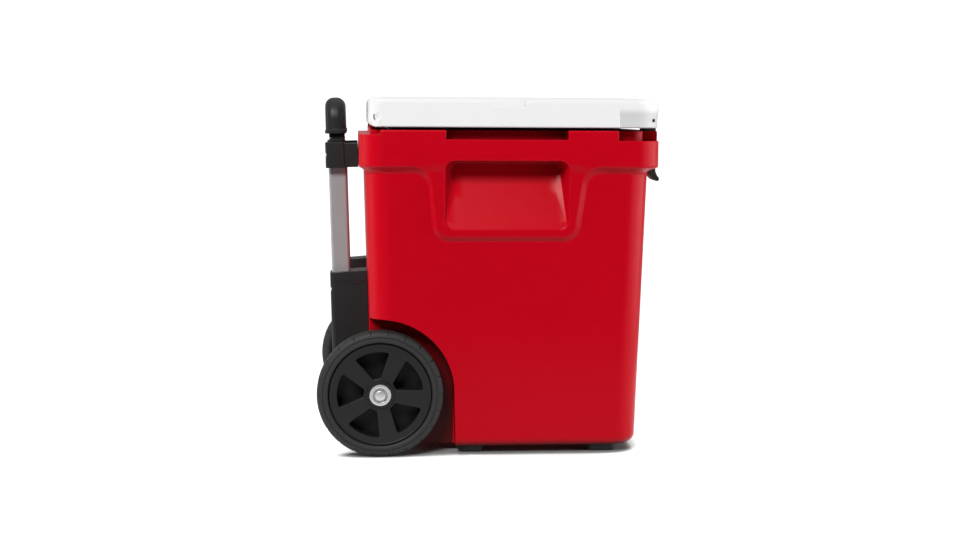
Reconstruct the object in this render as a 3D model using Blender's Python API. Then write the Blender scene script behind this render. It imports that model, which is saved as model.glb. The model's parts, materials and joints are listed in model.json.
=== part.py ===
"""A hard cool box on two wheels, with a hinged lid, two lid latches and a telescopic pull handle.

Lengths in this script are millimetres, and make() turns them into metres. +X is the front, where
the latches are, +Y is the left side and +Z is up. The origin is on the floor, under the middle of
the whole object. The handle's pieces are made upright in the frame of an empty that leans with
the rear wall.
"""

import math

import bmesh
import bpy
from mathutils import Matrix, Vector

MM = 0.001
FIT = 0.3
SIDES = {"left": 1, "right": -1}

# The tub: plan sizes at the height REFERENCE_Z, and the draft that widens them upwards.
REFERENCE_Z = 300
REAR_X = -179.0
FRONT_X = 228.0
HALF_WIDTH = 222.6
DRAFT = 0.0297
FLOOR_Z = 11
SKIN = 5
PLAN_RADIUS = 36

# The rim collar round the tub's mouth.
RIM_X = (-191.1, 246.5)
RIM_HALF_WIDTH = 236
RIM_Z = (423, 475)
RIM_CHAMFER_Z = 413.5
SIDE_NOTCH_X = (-66.5, 109.5)
SIDE_NOTCH_Z = 461.7
REAR_NOTCH_X = -160.5
REAR_NOTCH_Z = 468.3
FRONT_NOTCH_X = 182.5
FRONT_NOTCH_Z = 460.4

# The carrying recesses in the sides, each in a raised panel.
PANEL_Z = (318, 440)
PANEL_X_TOP = (-88.5, 132.5)
PANEL_X_BOTTOM = (-82, 122)
PANEL_FACE_Y = 228.6
PANEL_DRAFT = 0.036
SCOOP_X = (-67.5, 111.5)
SCOOP_Z = (331, 431)
SCOOP_DEEP_X = (-52, 96)
SCOOP_DEEP_Z = (404, 427)
SCOOP_BACK_Y = 199

# The food space and its liner.
LINER_WALL = 3.5
MOUTH_X = (-135.5, 184.5)
MOUTH_HALF_WIDTH = 176
WELL_FLOOR_X = (-130, 179)
WELL_FLOOR_HALF_WIDTH = 161
WELL_FLOOR_Z = 56
FLANGE_X = (-147.5, 197.5)
FLANGE_HALF_WIDTH = 190
FLANGE_Z = 470

# The wheels and their axle.
AXLE_X = -160.5
AXLE_Z = 92
TYRE_RADIUS = 92
RIM_RADIUS = 75
ARCH_RADIUS = 108
ARCH_WALL_Y = 182
ARCH_FOOT_X = -48.5
TYRE_Y = (190, 232)
AXLE_RADIUS = 6
SPOKES = 5
WINDOW_TURN = 29.5
WINDOW_FLOOR_Y = 200
WHEEL_STEPS = 40

# The lid and its hinge.
LID_X = (-177.5, 247)
LID_Z = (479, 522.2)
LID_HALF_WIDTH = 235
HINGE_X = -166.5
HINGE_Z = 493
HINGE_EAR_Y = (170, 200)
HINGE_ROLL = 13.6
PLUG_Z = 457

# The latches: one at each side of the front.
LATCH_Y = (148, 182)
LATCH_PIN_X = 235.5
LATCH_PIN_Z = 490
KEEPER_X = 229.5
KEEPER_Z = 440

# The pull handle. It leans back with the rear wall; a is across it, towards the tub.
LEAN = math.atan(DRAFT)
HANDLE_FOOT_X = -209.7
TUBE_Y = 102
TUBE_HALF = {"outer": (13.5, 10.0), "mid": (11.7, 8.2), "inner": (9.9, 6.4)}
TUBE_WALL = 1.5
TUBE_SPAN = {"outer": (62, 452), "mid": (70, 455), "inner": (78, 496)}
BASE_A = (-16.5, 39.2)
BASE_Y = (77, 127)
BASE_Z = (50, 263)
BRACKET_A = (-17.5, 31.1)
BRACKET_Z = (417, 455)
GRIP_A = (-16, 14)
GRIP_Z = (468, 521.6)
GRIP_BAR_Z = 490
GRIP_Y = (85, 119)
SCREW_Y = (84.5, 119.5)
BUTTON_HALF = (7.5, 18.5)
LEANING = Matrix.Translation(Vector((HANDLE_FOOT_X, 0, 0)) * MM) @ Matrix.Rotation(-LEAN, 4, "Y")

COLOURS = {
    "red_plastic": ((0.47, 0.0, 0.012), 0.35, 0.0),
    "white_plastic": ((0.86, 0.87, 0.88), 0.4, 0.0),
    "liner_plastic": ((0.78, 0.79, 0.8), 0.45, 0.0),
    "foam": ((0.82, 0.76, 0.55), 0.9, 0.0),
    "black_plastic": ((0.03, 0.03, 0.03), 0.5, 0.0),
    "black_rubber": ((0.02, 0.02, 0.02), 0.75, 0.0),
    "aluminium": ((0.6, 0.6, 0.61), 0.35, 1.0),
    "steel": ((0.55, 0.55, 0.56), 0.25, 1.0),
}


# Outlines


def arc(x, y, radius, start, end, steps):
    """Points of an arc, with its angles in degrees."""
    angles = [math.radians(start + (end - start) * i / steps) for i in range(steps + 1)]
    return [(x + radius * math.cos(t), y + radius * math.sin(t)) for t in angles]


def circle(x, y, radius, steps):
    return arc(x, y, radius, 0, 360, steps)[:-1]


def rounded(x0, x1, y0, y1, radius, steps=4):
    """A rectangle with round corners. radius is one value, or a pair for the high-X and low-X corners."""
    high, low = radius if isinstance(radius, tuple) else (radius, radius)
    return (
        arc(x1 - high, y0 + high, high, -90, 0, steps)
        + arc(x1 - high, y1 - high, high, 0, 90, steps)
        + arc(x0 + low, y1 - low, low, 90, 180, steps)
        + arc(x0 + low, y0 + low, low, 180, 270, steps)
    )


def plan(x0, x1, half_width, radius, z, steps=4):
    """A level ring, symmetrical about the XZ plane."""
    return [(x, y, z) for x, y in rounded(x0, x1, -half_width, half_width, radius, steps)]


# Objects


def material_named(name):
    found = bpy.data.materials.get(name)
    if found:
        return found
    colour, roughness, metallic = COLOURS[name]
    made = bpy.data.materials.new(name)
    made.use_nodes = True
    shader = made.node_tree.nodes["Principled BSDF"]
    shader.inputs["Base Color"].default_value = (*colour, 1)
    shader.inputs["Roughness"].default_value = roughness
    shader.inputs["Metallic"].default_value = metallic
    made.diffuse_color = (*colour, 1)
    return made


def make(name, points, faces):
    """An object from points in millimetres, with its faces turned outwards."""
    mesh = bpy.data.meshes.new(name)
    mesh.from_pydata([Vector(p) * MM for p in points], [], faces)
    shape = bmesh.new()
    shape.from_mesh(mesh)
    bmesh.ops.recalc_face_normals(shape, faces=shape.faces)
    shape.to_mesh(mesh)
    shape.free()
    mesh.shade_smooth()
    mesh.set_sharp_from_angle(angle=math.radians(35))
    made = bpy.data.objects.new(name, mesh)
    bpy.context.scene.collection.objects.link(made)
    return made


def loft(name, rings):
    """A solid skin through rings of equal length, with a flat face on the first and on the last."""
    count = len(rings[0])
    points = [p for ring in rings for p in ring]
    faces = [list(range(count)), list(range(len(points) - count, len(points)))]
    for r in range(len(rings) - 1):
        for i in range(count):
            j = (i + 1) % count
            faces.append([r * count + i, r * count + j, (r + 1) * count + j, (r + 1) * count + i])
    return make(name, points, faces)


def prism(name, outline, along, low, high):
    """An outline swept along X, Y or Z. The outline's numbers are the other two axes, in order."""
    spots = {"X": (1, 2, 0), "Y": (0, 2, 1), "Z": (0, 1, 2)}[along]

    def place(point, depth):
        values = dict(zip(spots, (*point, depth)))
        return tuple(values[axis] for axis in range(3))

    return loft(name, [[place(p, depth) for p in outline] for depth in (low, high)])


def turned(name, profile, x, z, steps=24):
    """A closed profile of (radius, y) turned about the line along Y through x, z."""
    points = []
    for turn in range(steps):
        angle = math.tau * turn / steps
        points += [(x + r * math.cos(angle), y, z + r * math.sin(angle)) for r, y in profile]
    count = len(profile)
    faces = []
    for turn in range(steps):
        here, there = turn * count, ((turn + 1) % steps) * count
        for i in range(count):
            j = (i + 1) % count
            faces.append([here + i, here + j, there + j, there + i])
    return make(name, points, faces)


def sided(side, low, high):
    """A stretch of |y| on one side, as (low y, high y)."""
    return tuple(sorted((side * low, side * high)))


def as_cutter(*objects):
    for helper in objects:
        helper.hide_render = True
        helper.display_type = "WIRE"


def combine(target, operation, *helpers):
    as_cutter(*helpers)
    for helper in helpers:
        modifier = target.modifiers.new(helper.name, "BOOLEAN")
        modifier.operation = operation
        modifier.object = helper
    return target


def cut(target, *helpers):
    return combine(target, "DIFFERENCE", *helpers)


def join(target, *helpers):
    return combine(target, "UNION", *helpers)


def finish(thing, material, body):
    """Gives a piece its material, and parents it to its body's empty without moving it."""
    thing.data.materials.clear()
    thing.data.materials.append(material_named(material))
    thing.parent = body
    thing.matrix_parent_inverse = body.matrix_world.inverted()
    return thing


def finish_leaning(thing, material, body):
    """As finish(), for a piece and its cutters that were made upright in the handle's frame."""
    thing.matrix_world = LEANING
    for modifier in thing.modifiers:
        modifier.object.matrix_world = LEANING
    bpy.context.view_layer.update()
    thing.data.materials.append(material_named(material))
    thing.parent = body
    thing.matrix_parent_inverse = body.matrix_world.inverted()
    return thing


def empty(name, x, y, z, parent=None):
    made = bpy.data.objects.new(name, None)
    bpy.context.scene.collection.objects.link(made)
    made.matrix_world = Matrix.Translation(Vector((x, y, z)) * MM)
    if parent:
        made.parent = parent
        made.matrix_parent_inverse = parent.matrix_world.inverted()
    bpy.context.view_layer.update()
    return made


# The tub


def tub_ring(z, inset, radius):
    """The tub's plan at a height, drawn in by inset."""
    grow = (z - REFERENCE_Z) * DRAFT - inset
    return plan(REAR_X - grow, FRONT_X + grow, HALF_WIDTH + grow, radius, z)


def tub_outside():
    rim_rear, rim_front = RIM_X
    low, high = RIM_Z
    return loft(
        "tub_outside",
        [
            tub_ring(FLOOR_Z, 16, 24),
            tub_ring(FLOOR_Z + 5, 6, 30),
            tub_ring(FLOOR_Z + 17, 0, PLAN_RADIUS),
            tub_ring(RIM_CHAMFER_Z, 0, PLAN_RADIUS),
            plan(rim_rear + 1, rim_front - 1, RIM_HALF_WIDTH - 1, 38, low),
            plan(rim_rear, rim_front, RIM_HALF_WIDTH, 38, high - 2),
            plan(rim_rear + 1.5, rim_front - 1.5, RIM_HALF_WIDTH - 1.5, 37, high),
        ],
    )


def tub_hollow(gap):
    """The space between the skin and the liner, smaller all round by gap."""
    wall = SKIN + gap
    return loft(
        "tub_hollow",
        [
            tub_ring(FLOOR_Z + wall, wall + 11, 20),
            tub_ring(FLOOR_Z + wall + 15, wall, 30),
            tub_ring(405, wall, 30),
            plan(-176 + gap, 218 - gap, 219 - gap, 28, 417),
            plan(-184 + gap, 218 - gap, 229 - gap, 28, 430),
            plan(-184 + gap, 218 - gap, 229 - gap, 28, 452 - gap),
            plan(-158 + gap, 211 - gap, 205 - gap, 26, 452.1 - gap),
            plan(-158 + gap, 211 - gap, 205 - gap, 26, FLANGE_Z - gap),
        ],
    )


def wheel_arch(name, side, wall):
    """The space that a wheel stands in, grown all round by wall."""
    radius = ARCH_RADIUS + wall
    top = AXLE_Z + radius
    outline = [(-300, -20), (ARCH_FOOT_X + wall, -20)]
    outline += arc(AXLE_X, AXLE_Z, radius, 0, 90, 10)
    outline.append((-300, top))
    return prism(name, outline, "Y", *sided(side, ARCH_WALL_Y - wall, 260))


def scoop(name, side, wall):
    """A carrying recess: deep and dark at its top, with a floor that slopes out to its lower edge."""
    x0, x1 = SCOOP_X
    z0, z1 = SCOOP_Z
    deep_x0, deep_x1 = SCOOP_DEEP_X
    deep_z0, deep_z1 = SCOOP_DEEP_Z
    mouth = rounded(x0 - wall, x1 + wall, z0 - wall, z1 + wall, 14)
    back = rounded(deep_x0 - wall, deep_x1 + wall, deep_z0 - wall, deep_z1 + wall, 9)
    levels = ((mouth, 250), (mouth, 229), (back, SCOOP_BACK_Y - wall))
    return loft(name, [[(x, side * y, z) for x, z in outline] for outline, y in levels])


def scoop_panel(name, side):
    """The raised panel round a carrying recess, with round lower corners."""
    low, high = PANEL_Z
    top0, top1 = PANEL_X_TOP
    bottom0, bottom1 = PANEL_X_BOTTOM
    corner = 20
    outline = [(top1, high)] + [(top0, high)]
    outline += arc(bottom0 + corner, low + corner, corner, 180, 270, 4)
    outline += arc(bottom1 - corner, low + corner, corner, 270, 360, 4)
    inner = [(x, side * 205, z) for x, z in outline]
    outer = [(x, side * (PANEL_FACE_Y + (z - low) * PANEL_DRAFT), z) for x, z in outline]
    return loft(name, [inner, outer])


def rim_notches(name, side):
    """The three notches in the top of the rim on one side."""
    lip = 212
    x0, x1 = SIDE_NOTCH_X
    middle = [(x0, lip), (x1, lip), (x1, 260), (x0, 260)]
    front = [(FRONT_NOTCH_X, 260), (FRONT_NOTCH_X, lip)]
    front += arc(206, lip - 18, 18, 90, 0, 4)
    front += [(224, 189), (270, 189), (270, 260)]
    rear = [(REAR_NOTCH_X, 260), (REAR_NOTCH_X, 224), (-175, 224), (-175, 205), (-220, 205)]
    rear.append((-220, 260))
    notches = ((middle, SIDE_NOTCH_Z), (front, FRONT_NOTCH_Z), (rear, REAR_NOTCH_Z))
    return [
        prism(f"{name}_{i}", [(x, side * y) for x, y in outline], "Z", low, 490)
        for i, (outline, low) in enumerate(notches)
    ]


def hinge_strip():
    """The upstand behind the lid, hollowed so that the lid's round rear edge rolls in it."""
    outline = [(-175, 470), (HINGE_X, 470), (HINGE_X, 481), (-175, 481)]
    strip = prism("hinge_strip", outline, "Y", -224, 224)
    cradle = prism("hinge_cradle", circle(HINGE_X, HINGE_Z, HINGE_ROLL + 1.2, 40), "Y", -230, 230)
    return cut(strip, cradle)


def hinge_ear(name, side):
    outline = [(HINGE_X - 8.5, 470), (HINGE_X + 8.5, 470)]
    outline += arc(HINGE_X, HINGE_Z, 8.5, 0, 180, 10)
    return prism(name, outline, "Y", *sided(side, *HINGE_EAR_Y))


def latch_channel(name, side):
    """The slot in the rim's front that a latch hangs in, open at its foot."""
    outline = [(225, 490), (225, 428.5), (232.3, 419.5), (232.3, 408), (260, 408), (260, 490)]
    low, high = LATCH_Y
    return prism(name, outline, "Y", *sided(side, low - 1, high + 1))


def body_shell(body):
    shell = tub_outside()
    shell.name = "body_shell"
    for word, side in SIDES.items():
        join(shell, scoop_panel(f"scoop_panel_{word}", side))
    join(shell, hinge_strip())
    for word, side in SIDES.items():
        join(shell, hinge_ear(f"hinge_ear_{word}", side))
    hollow = tub_hollow(0)
    mouth = loft("liner_mouth", [plan(*FLANGE_X, FLANGE_HALF_WIDTH, 30, z) for z in (460, 480)])
    for word, side in SIDES.items():
        cut(hollow, wheel_arch(f"arch_wall_{word}", side, SKIN), scoop(f"scoop_wall_{word}", side, SKIN))
    cut(shell, hollow, mouth)
    for word, side in SIDES.items():
        cut(shell, wheel_arch(f"arch_{word}", side, 0), scoop(f"scoop_{word}", side, 0))
        cut(shell, *rim_notches(f"rim_notch_{word}", side))
        cut(shell, latch_channel(f"latch_channel_{word}", side))
        span = sided(side, LATCH_Y[0] - 6, LATCH_Y[1] + 6)
        cut(shell, prism(f"keeper_hole_{word}", circle(KEEPER_X, KEEPER_Z, 3, 16), "Y", *span))
        ear_hole = circle(HINGE_X, HINGE_Z, 3.8, 20)
        cut(shell, prism(f"ear_hole_{word}", ear_hole, "Y", *sided(side, 160, 210)))
    cut(shell, prism("sleeve_hole", circle(AXLE_X, AXLE_Z, 8.3, 24), "Y", -190, 190))
    ledge = [(-220, REAR_NOTCH_Z), (-175, REAR_NOTCH_Z), (-175, 490), (-220, 490)]
    cut(shell, prism("rear_ledge", ledge, "Y", -250, 250))
    for name, y, a_span, w in screw_places():
        hole = prism(f"{name}_hole", circle(y, w, 2.3, 16), "X", a_span[1] - 8, a_span[1] + FIT)
        hole.matrix_world = LEANING
        cut(shell, hole)
    return finish(shell, "red_plastic", body)


def body_foam(body):
    foam = tub_hollow(FIT)
    foam.name = "body_foam"
    gap = SKIN + FIT
    for word, side in SIDES.items():
        cut(foam, wheel_arch(f"foam_arch_{word}", side, gap), scoop(f"foam_scoop_{word}", side, gap))
    around = LINER_WALL + FIT
    liner = loft("liner_space", liner_rings(around, 480))
    cut(foam, liner, prism("sleeve_space", circle(AXLE_X, AXLE_Z, 8.3, 24), "Y", -200, 200))
    return finish(foam, "foam", body)


def liner_plan(z, around, radius):
    """The food space's plan at a height, grown by around. It widens evenly from its floor to its mouth."""
    share = (z - WELL_FLOOR_Z) / (RIM_Z[1] - WELL_FLOOR_Z)

    def between(low, high):
        return low + (high - low) * share

    x0, x1 = (between(low, high) for low, high in zip(WELL_FLOOR_X, MOUTH_X))
    half = between(WELL_FLOOR_HALF_WIDTH, MOUTH_HALF_WIDTH)
    return plan(x0 - around, x1 + around, half + around, radius, z)


def liner_rings(around, top):
    """The food space grown by around, from its floor up to a height."""
    floor = WELL_FLOOR_Z - around
    return [
        liner_plan(floor, around - 9, 20),
        liner_plan(WELL_FLOOR_Z + 9, around, 29),
        liner_plan(top, around, 29),
    ]


def inner_liner(body):
    top = RIM_Z[1]
    x0, x1 = FLANGE_X
    flange = [
        plan(x0 + FIT, x1 - FIT, FLANGE_HALF_WIDTH - FIT, 30, z) for z in (FLANGE_Z + FIT, top)
    ]
    rings = liner_rings(LINER_WALL, FLANGE_Z + FIT) + flange + list(reversed(liner_rings(0, top)))
    return finish(loft("inner_liner", rings), "liner_plastic", body)


def feet(body):
    """Four rubber pads under the floor, which the box stands on with its wheels."""
    spans = {"rear": (-44, -8), "front": (148, 190)}
    for end, (x0, x1) in spans.items():
        for word, side in SIDES.items():
            y0, y1 = sided(side, 150, 198)
            low = [(x, y, 0) for x, y in rounded(x0 + 4, x1 - 4, y0 + 4, y1 - 4, 6, 3)]
            middle = [(x, y, 4) for x, y in rounded(x0, x1, y0, y1, 8, 3)]
            high = [(x, y, FLOOR_Z - FIT) for x, y in rounded(x0, x1, y0, y1, 8, 3)]
            finish(loft(f"foot_{end}_{word}", [low, middle, high]), "black_rubber", body)


# The axle and the wheels


def axle_parts(body):
    end = ARCH_WALL_Y
    sleeve = [(8, -end), (8, end), (6.3, end), (6.3, -end)]
    finish(turned("axle_sleeve", sleeve, AXLE_X, AXLE_Z), "steel", body)
    finish(prism("axle", circle(AXLE_X, AXLE_Z, AXLE_RADIUS, 24), "Y", -232.2, 232.2), "steel", body)
    rings = {"axle_spacer": (12, 182.4, 187.4), "axle_washer": (15.5, 230.4, 232.2)}
    for word, side in SIDES.items():
        for name, (radius, y0, y1) in rings.items():
            profile = [(radius, side * y0), (radius, side * y1), (6.3, side * y1), (6.3, side * y0)]
            finish(turned(f"{name}_{word}", profile, AXLE_X, AXLE_Z), "steel", body)
        cap = prism(f"axle_cap_{word}", circle(AXLE_X, AXLE_Z, 7.6, 24), "Y", *sided(side, 232.6, 236))
        finish(cap, "steel", body)


def sector(inner, outer, middle, inner_width, outer_width):
    """A window's outline between two radii. Widths are angles in degrees."""
    outline = arc(AXLE_X, AXLE_Z, outer, middle - outer_width / 2, middle + outer_width / 2, 6)
    return outline + arc(AXLE_X, AXLE_Z, inner, middle + inner_width / 2, middle - inner_width / 2, 3)


def wheel(word, side):
    body = empty(f"wheel_{word}_turn", AXLE_X, side * 210, AXLE_Z)
    profile = [(10.6, 187.8), (20, 187.8), (22, 194), (RIM_RADIUS - FIT, 194), (RIM_RADIUS - FIT, 227)]
    profile += [(RIM_RADIUS - 1.5, 228), (64, 228), (63, 227), (22, 227), (20, 230), (10.6, 230)]
    rim = turned(f"wheel_rim_{word}", [(r, side * y) for r, y in profile], AXLE_X, AXLE_Z, WHEEL_STEPS)
    for i in range(SPOKES):
        window = sector(23, 62.6, WINDOW_TURN + i * 360 / SPOKES, 31, 48)
        cut(rim, prism(f"window_{word}_{i}", window, "Y", *sided(side, WINDOW_FLOOR_Y, 240)))
    finish(rim, "black_plastic", body)
    inner, outer = TYRE_Y
    tread = [(RIM_RADIUS, inner + 5), (RIM_RADIUS + 3, inner + 2), (84, inner), (89.5, inner + 4)]
    tread += [(TYRE_RADIUS, inner + 11), (TYRE_RADIUS, outer - 13), (90, outer - 6), (86, outer - 3.5)]
    tread += [(RIM_RADIUS + 3, outer - 3), (RIM_RADIUS, outer - 5)]
    tyre = turned(f"tyre_{word}", [(r, side * y) for r, y in tread], AXLE_X, AXLE_Z, WHEEL_STEPS)
    finish(tyre, "black_rubber", body)
    bore = [(10.3, side * 188), (10.3, side * 229.8), (6.3, side * 229.8), (6.3, side * 188)]
    finish(turned(f"wheel_bushing_{word}", bore, AXLE_X, AXLE_Z), "steel", body)


# The lid


def lid_corner_recess(name, side):
    """The step in the lower half of the lid's front corner."""
    outline = [(FRONT_NOTCH_X + 1, 260), (FRONT_NOTCH_X + 1, 230)]
    outline += arc(209, 197, 33, 90, 0, 5)
    outline += [(242, 184), (270, 184), (270, 260)]
    return prism(name, [(x, side * y) for x, y in outline], "Z", 470, 501)


def lid_shell(body):
    x0, x1 = LID_X
    z0, z1 = LID_Z
    half = LID_HALF_WIDTH
    corner = (38, 20)
    rings = [plan(x0, x1, half, corner, z0), plan(x0, x1 - 1, half, corner, z1 - 9)]
    for inset, drop in ((1, 5), (3.2, 2), (7, 0)):
        rings.append(plan(x0 + inset, x1 - 1 - inset, half - inset, (38 - inset, 20 - inset), z1 - drop))
    shell = loft("lid_shell", rings)
    pin_hole = circle(HINGE_X, HINGE_Z, 3.8, 20)
    dimple = circle(HINGE_X + 0.01, HINGE_Z, 7, 20)
    cut(shell, loft("lid_hollow", [plan(-152, 214, 222, 20, z) for z in (470, 518)]))
    roll = [(-210, 470), (HINGE_X, 470)] + arc(HINGE_X, HINGE_Z, HINGE_ROLL, 270, 180, 8)
    roll.append((-210, HINGE_Z))
    cut(shell, prism("lid_rear_roll", roll, "Y", -250, 250))
    low, high = LATCH_Y
    for word, side in SIDES.items():
        ear0, ear1 = HINGE_EAR_Y
        slot_x, slot_z = HINGE_X + 9.2, HINGE_Z + 9.5
        slot = [(-200, 470), (slot_x, 470), (slot_x, slot_z), (-200, slot_z)]
        cut(shell, prism(f"ear_slot_{word}", slot, "Y", *sided(side, ear0 - 0.6, ear1 + 0.6)))
        notch = [(224, 470), (270, 470), (270, 501.5), (224, 501.5)]
        cut(shell, prism(f"latch_notch_{word}", notch, "Y", *sided(side, low - 1, high + 1)))
        cut(shell, lid_corner_recess(f"lid_recess_{word}", side))
        cut(shell, prism(f"lid_pin_hole_{word}", pin_hole, "Y", *sided(side, 160, 236)))
        cut(shell, prism(f"lid_dimple_{word}", dimple, "Y", *sided(side, 230, 240)))
        pin = circle(LATCH_PIN_X, LATCH_PIN_Z, 2.3, 14)
        cut(shell, prism(f"latch_pin_hole_{word}", pin, "Y", *sided(side, 138, 240)))
        tie = [(-1, 507), (47, 507), (47, 530), (-1, 530)]
        cut(shell, prism(f"tie_notch_{word}", tie, "Y", *sided(side, 233, 245)))
    return finish(shell, "white_plastic", body)


def lid_foam(body):
    gap = FIT
    rings = [plan(-152 + gap, 214 - gap, 222 - gap, 20, z) for z in (484 + gap, 518 - gap)]
    return finish(loft("lid_foam", rings), "foam", body)


def gasket_ring(outer_x, inner_x, outer_half, inner_half, z0, z1, name):
    outside = [plan(*outer_x, outer_half, 26, z) for z in (z0, z1)]
    inside = [plan(*inner_x, inner_half, 20, z) for z in (z0 - 5, z1 + 5)]
    return cut(loft(name, outside), loft(f"{name}_inside", inside))


def lid_liner(body):
    gap = FIT
    half = 222 - gap
    rings = [
        plan(-124, 172, 164, 24, PLUG_Z),
        plan(-127, 175, 167, 26, PLUG_Z + 3),
        plan(-128, 176, 168, 28, LID_Z[0] + 0.1),
        plan(-152 + gap, 214 - gap, half, 20, LID_Z[0] + 0.11),
        plan(-152 + gap, 214 - gap, half, 20, 484),
    ]
    liner = loft("lid_liner", rings)
    cut(liner, gasket_ring((-145.3, 195.8), (-137.7, 188.2), 187.8, 180.2, 470, 481, "gasket_groove"))
    return finish(liner, "white_plastic", body)


def lid_parts():
    body = empty("lid_hinge", HINGE_X, 0, HINGE_Z)
    lid_shell(body)
    lid_foam(body)
    lid_liner(body)
    seal = gasket_ring((-145, 195.5), (-138, 188.5), 187.5, 180.5, 475.4, 480.7, "lid_gasket")
    finish(seal, "black_rubber", body)
    for word, side in SIDES.items():
        hinge = circle(HINGE_X, HINGE_Z, 3.5, 20)
        finish(prism(f"hinge_pin_{word}", hinge, "Y", *sided(side, 162, 231.5)), "steel", body)
        pivot = circle(LATCH_PIN_X, LATCH_PIN_Z, 2, 14)
        finish(prism(f"latch_pin_{word}", pivot, "Y", *sided(side, 140, 212)), "steel", body)
    return body


def latch(word, side, lid):
    """A latch that hangs from its pin in the lid's edge, with a pull tab under the rim."""
    body = empty(f"latch_{word}_turn", LATCH_PIN_X, side * 165, LATCH_PIN_Z, lid)
    outline = arc(LATCH_PIN_X, LATCH_PIN_Z, 9.5, 20, 160, 8)
    outline += [(227.3, 484), (227.3, 447), (229, 445.6), (233.6, 445.6), (233.6, 424)]
    outline += [(235.6, 414), (238.5, 407.5), (243.5, 402.6), (249.5, 400.4)]
    outline += [(252.5, 404.6), (248.6, 410), (246, 417), (246, 484)]
    arm = prism(f"latch_{word}", outline, "Y", *sided(side, *LATCH_Y))
    hole = circle(LATCH_PIN_X, LATCH_PIN_Z, 2.3, 14)
    cut(arm, prism(f"latch_eye_{word}", hole, "Y", *sided(side, 140, 190)))
    finish(arm, "black_plastic", body)


def keeper_pins(body):
    low, high = LATCH_Y
    for word, side in SIDES.items():
        pin = circle(KEEPER_X, KEEPER_Z, 2.7, 16)
        span = sided(side, low - 5.6, high + 5.6)
        finish(prism(f"latch_keeper_{word}", pin, "Y", *span), "steel", body)


# The pull handle, in its leaning frame


def box_section(half_a, half_y, y, w, radius):
    return [(a, y + dy, w) for a, dy in rounded(-half_a, half_a, -half_y, half_y, radius, 3)]


def tube(name, kind, y, body):
    half_a, half_y = TUBE_HALF[kind]
    low, high = TUBE_SPAN[kind]
    outside = [box_section(half_a, half_y, y, w, 4) for w in (low, high)]
    inner_a, inner_y = half_a - TUBE_WALL, half_y - TUBE_WALL
    inside = [box_section(inner_a, inner_y, y, w, 2.5) for w in (low - 5, high + 5)]
    made = cut(loft(name, outside), loft(f"{name}_bore", inside))
    return finish_leaning(made, "aluminium", body)


def tube_passage(name, kind, y, low, high):
    """A cutter that lets a tube through another piece, with its fit."""
    half_a, half_y = TUBE_HALF[kind]
    return loft(name, [box_section(half_a + FIT, half_y + FIT, y, w, 4.2) for w in (low, high)])


def screw_places():
    """Each screw's name, y, span along a, and height."""
    bite = 5
    base = (BASE_A[0], BASE_A[1] + bite)
    bracket = (BRACKET_A[0], BRACKET_A[1] + bite)
    inner, outer = SCREW_Y
    places = []
    for word, side in SIDES.items():
        places.append((f"base_screw_lower_{word}", side * outer, base, 80))
        places.append((f"base_screw_upper_{word}", side * outer, base, 235))
        places.append((f"bracket_screw_inner_{word}", side * inner, bracket, 436))
        places.append((f"bracket_screw_outer_{word}", side * outer, bracket, 436))
    return places


def screws(body):
    for name, y, (start, end), w in screw_places():
        rings = []
        for radius, a in ((4.5, start + 0.4), (4.5, start + 2.4), (2, start + 4.4), (2, end)):
            rings.append([(a, py, pz) for py, pz in circle(y, w, radius, 16)])
        finish_leaning(loft(name, rings), "steel", body)


def screw_bores(target, kind, word):
    """Countersunk holes in a piece for its own screws on one side."""
    for name, y, (start, end), w in screw_places():
        if name.startswith(kind) and name.endswith(word):
            levels = ((4.9, start - 5), (4.9, start + 2.6), (2.3, start + 5), (2.3, end + 5))
            rings = [[(a, py, pz) for py, pz in circle(y, w, radius, 16)] for radius, a in levels]
            cut(target, loft(f"{name}_bore", rings))


def handle_bases(body):
    """The tall sleeves on the rear wall that hold the outer tubes."""
    for word, side in SIDES.items():
        y0, y1 = sided(side, *BASE_Y)
        outline = rounded(*BASE_A, y0, y1, (1, 5), 3)
        base = prism(f"handle_base_{word}", outline, "Z", *BASE_Z)
        socket = TUBE_SPAN["outer"][0] - FIT
        cut(base, tube_passage(f"base_bore_{word}", "outer", side * TUBE_Y, socket, 280))
        screw_bores(base, "base", word)
        finish_leaning(base, "black_plastic", body)


def handle_bracket(body):
    """Two collars round the tubes' tops, joined by a bar along the rim's rear face."""
    a0, a1 = BRACKET_A
    z0, z1 = BRACKET_Z
    bar = prism("handle_bracket", [(20, -100), (a1, -100), (a1, 100), (20, 100)], "Z", z0 + 8, z1 - 8)
    for word, side in SIDES.items():
        y0, y1 = sided(side, *BASE_Y)
        join(bar, prism(f"collar_{word}", rounded(a0, a1, y0, y1, (1, 5), 3), "Z", z0, z1))
    for word, side in SIDES.items():
        cut(bar, tube_passage(f"collar_bore_{word}", "outer", side * TUBE_Y, z0 - 10, z1 - 2))
        cut(bar, tube_passage(f"collar_mouth_{word}", "mid", side * TUBE_Y, z1 - 12, z1 + 10))
        screw_bores(bar, "bracket", word)
    return finish_leaning(bar, "black_plastic", body)


def mid_guide(name, y, body):
    """The plastic ring on top of a middle tube, which the inner tube slides in."""
    rings = [box_section(half_a, 9.4, y, w, 4) for half_a, w in ((11.9, 455.4), (11.9, 461.3))]
    ring = cut(loft(name, rings), tube_passage(f"{name}_bore", "inner", y, 450, 470))
    return finish_leaning(ring, "black_plastic", body)


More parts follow.
